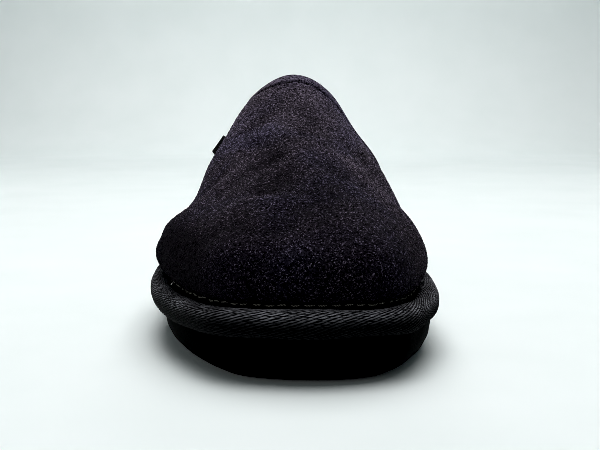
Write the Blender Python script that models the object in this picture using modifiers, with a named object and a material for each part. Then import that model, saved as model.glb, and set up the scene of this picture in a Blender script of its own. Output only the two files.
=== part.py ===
"""A right sheepskin slipper with an open back: outsole, insole, upper, edge binding and side tag.

Shapes are worked out in millimetres, as x across the foot, back behind the tip of the sole and z above
the floor, and go into the meshes in metres. The toe points to -Y and the inner side of the foot to +X.
The origin is on the floor, under the middle of the slipper's box.
"""

import math
from typing import NamedTuple

import bmesh
import bpy
import numpy as np
from mathutils import Matrix, Vector

MM = 0.001
GAP = 0.3

# Outsole, in millimetres
SOLE_LENGTH = 282.0
FOREFOOT_THICK = 15.0
HEEL_THICK = 19.0
TOE_SPRING, TREAD_SPRING = 2.4, 0.6
SPRING_RUN = 40.0
ARCH_RISE = 2.5
ARCH_START, ARCH_END = 124.0, 190.0
HEEL_ROLL, HEEL_ROLL_RUN = 1.5, 14.0
SOLE_TREAD_ROUND = 10.5
SOLE_RIM_ROUND = 2.2
SOLE_SHIFT = 1.5
SOLE_STATIONS = 38

# Edge binding, a rolled tape that rests on the outsole's rim and stands out past its side
BINDING_OUT = 4.2
BINDING_IN = 3.4
BINDING_TALL = 7.6
BINDING_CORNER = 3.2
BINDING_POINTS = 96
CORNER_STEPS = 3
SLAB_CORNER_POINTS = 5
ACROSS_STEPS = 6

# Upper
WALL = 3.0
UPPER_INSET = BINDING_IN + GAP
SWELL_HEIGHT = 31.0
FLANK_LEVELS = (0.35, 0.65, 0.88)
UPPER_STATIONS = 24
PROFILE_STEPS = (1, 3, 3, 3, 3, 3)
HEM_WIDE, HEM_RAISE, HEM_STEP = 4.0, 0.5, 0.6
HEM_FADE = 4.0
COLLAR_RAKE = 0.85

# Insole, a sheepskin-covered footbed that fills the space inside the binding
INSOLE_THICK = 9.0
INSOLE_CUP = 1.5
INSOLE_EDGE_ROUND = 1.5
INSOLE_STEP_RUN = 8.0
INSOLE_ROOM = 0.5

# Side tag, a folded ribbon sewn into the outer collar's hem
TAG_HEIGHT = 66.0
TAG_WIDE = 9.0
TAG_LENGTH = 6.5
TAG_IN = 0.4
TAG_THICK = 0.9
TAG_LOOP_THICK = 1.5
TAG_FLARE = math.radians(50)
TAG_ARC_STEPS = 6


class EdgeRow(NamedTuple):
    """Where the sole's side lies, at a share of its length behind the tip."""

    share: float
    outer_x: float
    inner_x: float


TOE_TIP_X = 9.0
HEEL_TIP_X = 0.0
SOLE_EDGE = (
    EdgeRow(0.018, -15.0, 31.0),
    EdgeRow(0.090, -32.0, 45.3),
    EdgeRow(0.220, -46.0, 53.2),
    EdgeRow(0.360, -50.0, 51.6),
    EdgeRow(0.520, -47.5, 44.0),
    EdgeRow(0.680, -43.5, 40.0),
    EdgeRow(0.840, -40.5, 38.5),
    EdgeRow(0.960, -25.5, 25.0),
)


class Section(NamedTuple):
    """One rib of the last, from the sole's outer edge over the ridge to its inner edge.

    foot and ridge_back are distances behind the sole's tip. swell is how far the side stands out past the
    sole's edge. low, mid and high are shares of the way from there in to the ridge at the FLANK_LEVELS.
    """

    foot: float
    ridge_back: float
    ridge_x: float
    ridge_z: float
    outer_swell: float
    inner_swell: float
    outer_low: float
    outer_mid: float
    outer_high: float
    inner_low: float
    inner_mid: float
    inner_high: float


LAST = (
    Section(0, 36, 7.0, 57, 0.5, 0.5, 0.03, 0.26, 0.62, 0.03, 0.26, 0.62),
    Section(10, 42, 6.5, 59, 1.0, 0.5, 0.04, 0.27, 0.62, 0.03, 0.26, 0.62),
    Section(28, 51, 5.5, 62, 1.8, 0.4, 0.05, 0.30, 0.64, 0.05, 0.28, 0.63),
    Section(55, 66, 4.0, 67.5, 2.3, 0.0, 0.03, 0.41, 0.69, 0.09, 0.34, 0.66),
    Section(85, 86, 2.5, 75, 2.3, 0.0, 0.21, 0.42, 0.74, 0.13, 0.39, 0.67),
    Section(125, 112, 2.0, 86.5, 2.3, 0.2, 0.26, 0.40, 0.57, 0.07, 0.29, 0.59),
    Section(166, 136, 1.6, 101, -1.3, 2.3, 0.18, 0.48, 0.66, 0.00, 0.31, 0.57),
)


def smooth(knots, values, at, last_slope=None):
    """Cubic curve through the values at the knots, with each slope taken from the neighbouring knots."""
    knots = np.asarray(knots, float)
    values = np.asarray(values, float)
    slopes = np.gradient(values, knots, axis=0, edge_order=2)
    if last_slope is not None:
        slopes[-1] = last_slope
    at = np.atleast_1d(np.asarray(at, float))
    i = np.clip(np.searchsorted(knots, at, side="right") - 1, 0, len(knots) - 2)
    wide = (knots[i + 1] - knots[i]).reshape((-1,) + (1,) * (values.ndim - 1))
    t = (at - knots[i]).reshape(wide.shape) / wide
    start = (1 + 2 * t) * (1 - t) ** 2 * values[i] + t * (1 - t) ** 2 * wide * slopes[i]
    end = t * t * (3 - 2 * t) * values[i + 1] + t * t * (t - 1) * wide * slopes[i + 1]
    return start + end


def ease(t):
    """Smooth step from 0 to 1."""
    t = np.clip(t, 0.0, 1.0)
    return t * t * (3 - 2 * t)


def turn_at(back):
    """Turn round the sole, 0 at the tip and pi at the heel, at a distance behind the tip."""
    return np.arccos(1 - 2 * np.asarray(back, float) / SOLE_LENGTH)


def edge_line(turn):
    """Points (x, back) of the sole's side: turns below 0 are the outer side, above 0 the inner side."""
    turns = turn_at([row.share * SOLE_LENGTH for row in SOLE_EDGE])
    outer = [row.outer_x for row in SOLE_EDGE]
    inner = [row.inner_x for row in SOLE_EDGE]
    knots = np.concatenate([-turns[::-1], [0], turns])
    xs = np.concatenate([outer[::-1], [TOE_TIP_X], inner])
    knots = np.concatenate([[-2 * math.pi + turns[-1], -math.pi], knots, [math.pi, 2 * math.pi - turns[-1]]])
    xs = np.concatenate([[inner[-1], HEEL_TIP_X], xs, [HEEL_TIP_X, outer[-1]]])
    back = SOLE_LENGTH / 2 * (1 - np.cos(turn))
    return np.stack([smooth(knots, xs, turn), back], axis=-1)


def edge(turn, out=0.0):
    """The sole's side, moved out along its own normal."""
    turn = np.atleast_1d(np.asarray(turn, float))
    step = 0.01
    along = edge_line(turn + step) - edge_line(turn - step)
    normal = np.stack([along[:, 1], -along[:, 0]], axis=-1)
    normal /= np.linalg.norm(normal, axis=1, keepdims=True)
    return edge_line(turn) + np.asarray(out, float).reshape(-1, 1) * normal


def spring(back, rise=TOE_SPRING):
    """How far the sole turns up at the toe."""
    return rise * np.clip(1 - back / SPRING_RUN, 0, 1) ** 2


def sole_top(back):
    """Height of the outsole's upper face, which climbs a little to the heel."""
    climb = ease((back / SOLE_LENGTH - 0.35) / 0.4)
    return FOREFOOT_THICK + (HEEL_THICK - FOREFOOT_THICK) * climb + spring(back)


def sole_bottom(back):
    """Height of the tread: flat under forefoot and heel, raised at the arch, the toe and the heel's back."""
    arch = np.clip((back - ARCH_START) / (ARCH_END - ARCH_START), 0, 1)
    roll = np.clip((back - SOLE_LENGTH + HEEL_ROLL_RUN) / HEEL_ROLL_RUN, 0, 1)
    toe = spring(back, TREAD_SPRING)
    return toe + ARCH_RISE * np.sin(math.pi * arch) ** 2 + HEEL_ROLL * roll**2


def middle_x():
    """The x of the middle of the slipper's box, which the binding sets."""
    x = edge(np.linspace(-math.pi, math.pi, 361), BINDING_OUT)[:, 0]
    return (x.min() + x.max()) / 2


def metres(points):
    """Points (x, back, z) in millimetres as row-frame points in metres."""
    points = np.asarray(points, float)
    return (points - [middle_x(), SOLE_LENGTH / 2, 0]) * MM


def add_object(name, data, collection):
    """A new object that holds this mesh or curve."""
    obj = bpy.data.objects.new(name, data)
    collection.objects.link(obj)
    return obj


def loft(name, rows, closed, collection):
    """A skin over rows of points, with the folded end rows merged on themselves."""
    bm = bmesh.new()
    grid = [[bm.verts.new(p) for p in metres(row)] for row in rows]
    count = len(grid[0])
    for here, ahead in zip(grid, grid[1:]):
        for j in range(count if closed else count - 1):
            k = (j + 1) % count
            bm.faces.new((here[j], ahead[j], ahead[k], here[k]))
    bmesh.ops.remove_doubles(bm, verts=bm.verts, dist=1e-6)
    bmesh.ops.recalc_face_normals(bm, faces=bm.faces)
    mesh = bpy.data.meshes.new(name)
    bm.to_mesh(mesh)
    bm.free()
    mesh.shade_smooth()
    return add_object(name, mesh, collection)


def finish(obj, colour, roughness):
    """Gives the object its own material."""
    material = bpy.data.materials.new(obj.name)
    material.use_nodes = True
    shader = material.node_tree.nodes["Principled BSDF"]
    shader.inputs["Base Color"].default_value = (*colour, 1.0)
    shader.inputs["Roughness"].default_value = roughness
    shader.inputs["Metallic"].default_value = 0.0
    obj.data.materials.append(material)


def slab_row(turn, outs, bottom, top, rounds, cup):
    """One closed section of a slab across the sole, at a turn from toe to heel.

    The section goes from the outer side along the underside to the inner side, and back over the top, which
    is hollowed by cup in the middle. outs are the slab's two edges beyond the sole's side. Each corner is a
    quarter circle, and rounds are the radii below and above.
    """
    quarter = np.linspace(0, math.pi / 2, SLAB_CORNER_POINTS)
    ins, lifts = np.sin(quarter) - 1, 1 - np.cos(quarter)
    low, high = rounds

    def side(sign, out):
        rising, falling = [], []
        for move, lift in zip(ins, lifts):
            x, back = edge(sign * turn, out + low * move)[0]
            rising.append((x, back, bottom(back) + low * lift))
            x, back = edge(sign * turn, out + high * move)[0]
            falling.append((x, back, top(back) - high * lift))
        return rising + falling[::-1]

    def across(start, end, height):
        shares = np.linspace(0, 1, ACROSS_STEPS + 1)[1:-1]
        plan = [np.add(start[:2], np.subtract(end, start)[:2] * share) for share in shares]
        return [(x, back, height(back, share)) for (x, back), share in zip(plan, shares)]

    outer, inner = side(-1, outs[0]), side(1, outs[1])
    under = across(outer[0], inner[0], lambda back, share: bottom(back))
    over = across(inner[-1], outer[-1], lambda back, share: top(back) - cup * math.sin(math.pi * share))
    return outer[::-1] + under + inner + over


def slab_turns():
    """Turns from the toe to the heel, where the section folds onto itself at both ends."""
    return np.linspace(0, math.pi, SOLE_STATIONS + 1)


def make_outsole(collection):
    """Rubber outsole: the last's outline, with a round tread edge, toe spring, a shallow arch and two flats."""
    rows, rounds = [], (SOLE_TREAD_ROUND, SOLE_RIM_ROUND)
    for turn in slab_turns():
        shift = SOLE_SHIFT * math.sin(turn)
        rows.append(slab_row(turn, (-shift, shift), sole_bottom, sole_top, rounds, 0.0))
    obj = loft("outsole", rows, True, collection)
    finish(obj, (0.008, 0.008, 0.009), 0.85)
    return obj


def insole_inset(back):
    """Room left at the insole's edge: for binding and upper at the front, for the binding alone behind it."""
    front = UPPER_INSET + WALL + INSOLE_ROOM
    rear = BINDING_IN + INSOLE_ROOM
    return front + (rear - front) * ease((back - LAST[-1].foot - INSOLE_ROOM) / INSOLE_STEP_RUN)


def make_insole(collection):
    """Footbed that fills the binding's ring, stepped out to the binding behind the upper."""
    def bottom(back):
        return sole_top(back) + GAP

    def top(back):
        return sole_top(back) + INSOLE_THICK

    rows, rounds = [], (INSOLE_EDGE_ROUND, INSOLE_EDGE_ROUND)
    for turn in slab_turns():
        out = -float(insole_inset(SOLE_LENGTH / 2 * (1 - math.cos(turn))))
        cup = INSOLE_CUP * math.sin(turn)
        rows.append(slab_row(turn, (out, out), bottom, top, rounds, cup))
    obj = loft("insole", rows, True, collection)
    finish(obj, (0.05, 0.045, 0.045), 0.95)
    return obj


def rounded_profile():
    """The binding's section: a rectangle with round corners, as (out, up) from its inner lower corner."""
    wide, tall, r = BINDING_OUT + BINDING_IN, BINDING_TALL, BINDING_CORNER
    centres = ((wide - r, r), (wide - r, tall - r), (r, tall - r), (r, r))
    points = []
    for n, (cx, cz) in enumerate(centres):
        for step in range(CORNER_STEPS + 1):
            angle = math.pi / 2 * (n - 1 + step / CORNER_STEPS)
            points.append((cx + r * math.cos(angle), cz + r * math.sin(angle)))
    return points


def make_binding(collection):
    """Rolled tape round the whole edge, swept along the rim of the outsole."""
    turns = np.linspace(-math.pi, math.pi, BINDING_POINTS * 4 + 1)
    fine = edge(turns)
    run = np.concatenate([[0], np.cumsum(np.linalg.norm(np.diff(fine, axis=0), axis=1))])
    even = np.interp(np.linspace(0, run[-1], BINDING_POINTS + 1)[:-1], run, turns)
    rows = []
    for turn in even:
        row = []
        for out, up in rounded_profile():
            x, back = edge(turn, out - BINDING_IN)[0]
            row.append((x, back, sole_top(np.clip(back, 0, SOLE_LENGTH)) + GAP + up))
        rows.append(row)
    obj = loft("edge_binding", rows + rows[:1], True, collection)
    finish(obj, (0.022, 0.021, 0.024), 0.9)
    return obj


def section_at(foot):
    """The last's section, interpolated at a distance behind the sole's tip."""
    knots = turn_at([row.foot for row in LAST])
    return Section(*smooth(knots, [list(row) for row in LAST], turn_at(foot))[0])


def ridge_slope(foot):
    """Rise of the ridge line per millimetre it runs back."""
    ahead, behind = section_at(max(foot - 1, 0)), section_at(min(foot + 1, LAST[-1].foot))
    return (behind.ridge_z - ahead.ridge_z) / (behind.ridge_back - ahead.ridge_back)


def flank(foot, sign):
    """One side of a section as points from the sole up to the ridge: sign is -1 outside and 1 inside.

    The curve stands straight behind the binding, swells out over it and leans in to the ridge, where it
    meets the other side without a crease.
    """
    row = section_at(foot)
    if sign < 0:
        swell, shares = row.outer_swell, (row.outer_low, row.outer_mid, row.outer_high)
    else:
        swell, shares = row.inner_swell, (row.inner_low, row.inner_mid, row.inner_high)
    base = edge(sign * turn_at(foot), -UPPER_INSET)[0]
    top = np.array([row.ridge_x, row.ridge_back])
    reach = np.linalg.norm(top - base)
    floor = float(sole_top(base[1])) + GAP
    swell_z = SWELL_HEIGHT + float(spring(base[1]))
    out = (swell + UPPER_INSET) / reach
    ins = [0, 0, -out, *(share * (1 + out) - out for share in shares), 1]
    climbs = [swell_z + level * (row.ridge_z - swell_z) for level in FLANK_LEVELS]
    heights = [floor, floor + BINDING_TALL, swell_z, *climbs, row.ridge_z]
    bow = ease(foot / LAST[-2].foot)
    end_slope = ridge_slope(foot) * (top[1] - base[1]) * (1 - bow)
    return profile_points(base, top, ins, heights, reach, bow, end_slope)


def profile_points(base, top, ins, heights, reach, bow, end_slope):
    """Samples a flank's knots as a smooth curve.

    With a bow of 0 its plan is a straight line from the sole to the ridge. With a bow of 1 it runs forward
    as it climbs, so that it reaches the ridge squarely and the collar is a raked line seen from the side.
    """
    knots = np.stack([np.multiply(ins, reach), heights], axis=-1)
    chord = np.concatenate([[0], np.cumsum(np.linalg.norm(np.diff(knots, axis=0), axis=1))])
    spans = zip(chord, chord[1:], PROFILE_STEPS)
    at = np.append(np.concatenate([np.linspace(*span, endpoint=False) for span in spans]), chord[-1])
    ahead = np.array([reach, end_slope])
    curve = smooth(chord, knots, at, ahead / np.linalg.norm(ahead))
    t = curve[:, 0] / reach
    climb = np.clip((curve[:, 1] - heights[0]) / (heights[-1] - heights[0]), 0, 1)
    bent = (1 - bow) * t + bow * climb**COLLAR_RAKE
    return np.stack([
        base[0] + (top[0] - base[0]) * t,
        base[1] + (top[1] - base[1]) * bent,
        curve[:, 1],
    ], axis=-1)


def upper_feet():
    """Where the upper's sections stand: even turns, then close ones that make the collar's folded hem."""
    last = LAST[-1].foot
    hem = turn_at(last - HEM_WIDE)
    turns = np.linspace(0, hem, UPPER_STATIONS)
    even = SOLE_LENGTH / 2 * (1 - np.cos(turns))
    return [*even, last - HEM_WIDE + HEM_STEP, last]


def make_upper(collection):
    """Suede shell: one wall over the forefoot, open at the collar and underneath, with a raised hem."""
    rows = []
    for foot in upper_feet():
        outer, inner = flank(foot, -1), flank(foot, 1)
        rows.append(np.vstack([outer, inner[-2::-1]]))
    obj = loft("upper", rows, False, collection)
    raise_hem(obj.data, rows)
    shell = obj.modifiers.new("wall", "SOLIDIFY")
    shell.thickness = WALL * MM
    shell.offset = -1
    shell.use_even_offset = True
    shell.use_quality_normals = True
    finish(obj, (0.035, 0.028, 0.035), 0.95)
    return obj, rows


def raise_hem(mesh, rows):
    """Lifts the last two rows of the upper off its surface, as a folded edge stands up above the binding."""
    bm = bmesh.new()
    bm.from_mesh(mesh)
    bm.normal_update()
    hem = {tuple(np.round(p, 7)) for row in rows[-2:] for p in metres(row)}
    lifted = [(v, v.normal.copy()) for v in bm.verts if tuple(np.round(v.co, 7)) in hem]
    clear = sole_top(LAST[-1].foot) + BINDING_TALL
    for vert, normal in lifted:
        vert.co += normal * HEM_RAISE * MM * ease((vert.co.z / MM - clear) / HEM_FADE)
    bm.to_mesh(mesh)
    bm.free()


def tag_outline():
    """The folded ribbon seen on edge: two sides that spread to a round loop, as (length, thickness)."""
    root, loop = TAG_THICK / 2, TAG_LOOP_THICK / 2
    points = [(0, -root), (TAG_LENGTH - loop, -loop)]
    for step in range(1, TAG_ARC_STEPS):
        angle = math.pi * (step / TAG_ARC_STEPS - 0.5)
        points.append((TAG_LENGTH - loop + loop * math.cos(angle), loop * math.sin(angle)))
    return points + [(TAG_LENGTH - loop, loop), (0, root)]


def make_tag(rows, collection):
    """Plain ribbon tag on the outer side, its root at the hem's fold and its loop past the collar's edge."""
    side = len(rows[-1]) // 2 + 1
    collar, ahead = metres(rows[-1][:side]), metres(rows[-4][:side])
    i = int(np.argmin(np.abs(collar[:, 2] - TAG_HEIGHT * MM)))
    along = Vector(collar[i + 1] - collar[i - 1]).normalized()
    back = Vector(collar[i] - ahead[i])
    back = (back - along * back.dot(along)).normalized()
    out = back.cross(along).normalized()
    if out.x > 0:
        out = -out
    clear = GAP + TAG_THICK / 2 * math.sin(TAG_FLARE)
    root = Vector(collar[i]) + back * clear * MM - out * TAG_IN * MM
    length = back * math.cos(TAG_FLARE) + out * math.sin(TAG_FLARE)
    thick = out * math.cos(TAG_FLARE) - back * math.sin(TAG_FLARE)
    curve = bpy.data.curves.new("side_tag", "CURVE")
    curve.dimensions = "2D"
    curve.fill_mode = "BOTH"
    curve.extrude = TAG_WIDE * MM / 2
    line = curve.splines.new("POLY")
    points = tag_outline()
    line.points.add(len(points) - 1)
    for point, (x, y) in zip(line.points, points):
        point.co = (x * MM, y * MM, 0, 1)
    line.use_cyclic_u = True
    obj = add_object("side_tag", curve, collection)
    axes = Matrix((length, thick, length.cross(thick))).transposed().to_4x4()
    obj.matrix_world = Matrix.Translation(root) @ axes
    finish(obj, (0.006, 0.006, 0.006), 0.8)
    return obj


def main():
    for obj in list(bpy.data.objects):
        bpy.data.objects.remove(obj)
    collection = bpy.data.collections.new("sheepskin_slipper")
    bpy.context.scene.collection.children.link(collection)
    make_outsole(collection)
    make_insole(collection)
    make_binding(collection)
    _, rows = make_upper(collection)
    make_tag(rows, collection)


main()
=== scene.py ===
"""Looks of a right sheepskin slipper with an open back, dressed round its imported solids.

Shapes are worked out in millimetres, as x across the foot, back behind the tip of the sole and z above the
floor, and go into the meshes in metres, in the frame of the solids: the toe points to -Y, the inner side
of the foot to +X, and the origin is on the floor under the middle of the slipper's box.
"""

from __future__ import annotations

import logging
import math
from dataclasses import dataclass, field
from enum import Enum, IntEnum
from functools import cached_property
from typing import Any, NamedTuple

import bmesh
import bpy
import numpy as np
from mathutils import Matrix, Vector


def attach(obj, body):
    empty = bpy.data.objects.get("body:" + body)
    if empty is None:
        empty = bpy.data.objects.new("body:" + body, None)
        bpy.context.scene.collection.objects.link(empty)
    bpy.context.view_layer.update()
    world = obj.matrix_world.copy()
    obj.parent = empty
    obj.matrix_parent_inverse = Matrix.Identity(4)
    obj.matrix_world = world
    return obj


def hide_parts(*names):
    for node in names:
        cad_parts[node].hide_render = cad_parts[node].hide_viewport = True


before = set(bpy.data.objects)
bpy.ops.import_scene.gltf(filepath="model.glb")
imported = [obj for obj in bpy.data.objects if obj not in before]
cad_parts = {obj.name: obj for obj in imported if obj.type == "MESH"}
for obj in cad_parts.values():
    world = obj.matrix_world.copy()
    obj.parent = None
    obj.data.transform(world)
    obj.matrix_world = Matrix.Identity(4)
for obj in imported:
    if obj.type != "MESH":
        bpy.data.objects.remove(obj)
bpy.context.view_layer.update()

Array = np.ndarray
MM = 0.001
BODY = "root"
DOWN = np.array([0.0, 0.0, -1.0])
log = logging.getLogger("sheepskin_slipper")

# Room in millimetres between pieces that lie on each other
GAP = 0.3
# Points nearer to each other than this, in metres, are made one
WELD = 2e-7
# Scale at which a wave texture repeats once in each unit
WAVE = math.pi / 10
# Sockets of a mix node that mixes colours
MIX_SHARE, MIX_FIRST, MIX_SECOND, MIX_RESULT = 0, 6, 7, 2


class Side(Enum):
    """Which side of the foot, with the sign of its turns round the sole."""

    OUTER = -1
    INNER = 1


class Mark(Enum):
    """What a crease does to the surface, with the sign of its height."""

    TROUGH = -1
    RIDGE = 1


class Seed(IntEnum):
    """Seeds of what is left to chance, so that every run gives the same slipper."""

    SLACK = 3
    TAPE = 5
    TAPE_RUB = 6
    STITCHES = 11
    LINING = 21
    FOOTBED = 22
    LINING_LOCKS = 31
    FOOTBED_LOCKS = 32
    NAP = 40


def ease(t: Array) -> Array:
    """Smooth step from 0 to 1: three t squared less two t cubed."""
    t = np.clip(t, 0.0, 1.0)
    return t * t * (3 - 2 * t)


def bell(distance: Array, wide: float) -> Array:
    """Bell curve: e to the minus square of distance over width."""
    return np.exp(-((distance / wide) ** 2))


def unit(vectors: Array) -> Array:
    """Vectors scaled to length one along the last axis."""
    return vectors / np.maximum(np.linalg.norm(vectors, axis=-1, keepdims=True), 1e-12)


def run_along(points: Array, axis: int = 0) -> Array:
    """Distance walked from the first point to each point of a grid: the sum of the steps before it.

    Args:
        points: Grid of points.
        axis: The axis that is walked along.

    Returns:
        A distance for each point.
    """
    steps = np.linalg.norm(np.diff(points, axis=axis), axis=-1)
    start = np.zeros_like(steps.take([0], axis=axis))
    return np.concatenate([start, np.cumsum(steps, axis=axis)], axis=axis)


def hermite(start: Array, end: Array, leave: Array, arrive: Array, t: Array) -> Array:
    """Cubic from start to end that leaves and arrives at the given rates as t goes from 0 to 1."""
    far = 1 - t
    return (1 + 2 * t) * far**2 * start + t * far**2 * leave + t * t * ((3 - 2 * t) * end - far * arrive)


def knot_slopes(knots: Array, values: Array) -> Array:
    """Slopes of a curve at its knots, each that of the parabola through the knot and its two neighbours.

    Args:
        knots: Places of the knots, on the last axis.
        values: Values at the knots, with the knots on the last axis but one.

    Returns:
        One slope for each value.
    """
    step = np.diff(knots, axis=-1)[..., None]
    rise = np.diff(values, axis=-2) / step
    before, after = step[..., :-1, :], step[..., 1:, :]
    inner = (before * rise[..., 1:, :] + after * rise[..., :-1, :]) / (before + after)
    first = 2 * rise[..., :1, :] - inner[..., :1, :]
    last = 2 * rise[..., -1:, :] - inner[..., -1:, :]
    return np.concatenate([first, inner, last], axis=-2)


def curve_at(knots: Array, values: Array, at: Array) -> Array:
    """Smooth curve through values at knots: a cubic between each two, with the slopes of knot_slopes.

    Args:
        knots: Places of the knots, rising.
        values: One row of values for each knot.
        at: Places to read, of any shape.

    Returns:
        A row of values for each place.
    """
    slopes = knot_slopes(knots, values)
    i = np.clip(np.searchsorted(knots, at, side="right") - 1, 0, len(knots) - 2)
    wide = (knots[i + 1] - knots[i])[..., None]
    t = (at - knots[i])[..., None] / wide
    return hermite(values[i], values[i + 1], slopes[i] * wide, slopes[i + 1] * wide, t)


def lumps(points: Array, size: float, seed: int, waves: int = 14) -> Array:
    """Soft unevenness of about one: the sum of plane waves of one length in seeded directions.

    Args:
        points: Points in millimetres.
        size: Length of the waves in millimetres.
        seed: Seed of their directions and phases.
        waves: How many waves are added.

    Returns:
        A height for each point.
    """
    rng = np.random.default_rng(seed)
    ways = unit(rng.normal(size=(waves, 3))) * (2 * math.pi / size)
    phases = rng.uniform(0, 2 * math.pi, waves)
    return np.cos(points @ ways.T + phases).sum(axis=-1) / math.sqrt(waves / 2)


class EdgeRow(NamedTuple):
    """Where the sole's side lies, at a share of its length behind the tip."""

    share: float
    outer_x: float
    inner_x: float


class Section(NamedTuple):
    """One rib of the last, from the sole's outer edge over the ridge to its inner edge.

    foot and ridge_back are distances behind the sole's tip. swell is how far the side stands out past the
    sole's edge. low, mid and high are shares of the way from there in to the ridge at the flank's levels.
    """

    foot: float
    ridge_back: float
    ridge_x: float
    ridge_z: float
    outer_swell: float
    inner_swell: float
    outer_low: float
    outer_mid: float
    outer_high: float
    inner_low: float
    inner_mid: float
    inner_high: float


SOLE_EDGE = (
    EdgeRow(0.018, -15.0, 31.0),
    EdgeRow(0.090, -32.0, 45.3),
    EdgeRow(0.220, -46.0, 53.2),
    EdgeRow(0.360, -50.0, 51.6),
    EdgeRow(0.520, -47.5, 44.0),
    EdgeRow(0.680, -43.5, 40.0),
    EdgeRow(0.840, -40.5, 38.5),
    EdgeRow(0.960, -25.5, 25.0),
)

SECTIONS = (
    Section(0, 36, 7.0, 57, 0.5, 0.5, 0.03, 0.26, 0.62, 0.03, 0.26, 0.62),
    Section(10, 42, 6.5, 59, 1.0, 0.5, 0.04, 0.27, 0.62, 0.03, 0.26, 0.62),
    Section(28, 51, 5.5, 62, 1.8, 0.4, 0.05, 0.30, 0.64, 0.05, 0.28, 0.63),
    Section(55, 66, 4.0, 67.5, 2.3, 0.0, 0.03, 0.41, 0.69, 0.09, 0.34, 0.66),
    Section(85, 86, 2.5, 75, 2.3, 0.0, 0.21, 0.42, 0.74, 0.13, 0.39, 0.67),
    Section(125, 112, 2.0, 86.5, 2.3, 0.2, 0.26, 0.40, 0.57, 0.07, 0.29, 0.59),
    Section(166, 136, 1.6, 101, -1.3, 2.3, 0.18, 0.48, 0.66, 0.00, 0.31, 0.57),
)


class SlabSteps(NamedTuple):
    """How many points a slab's section has at a corner, up a side, along the underside and over the top."""

    corner: int
    side: int
    under: int
    over: int


class Slab(NamedTuple):
    """A slab's grid, the share across of each point of a section, and where underside and top lie in it."""

    points: Array
    share: Array
    under: slice
    over: slice


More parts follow.
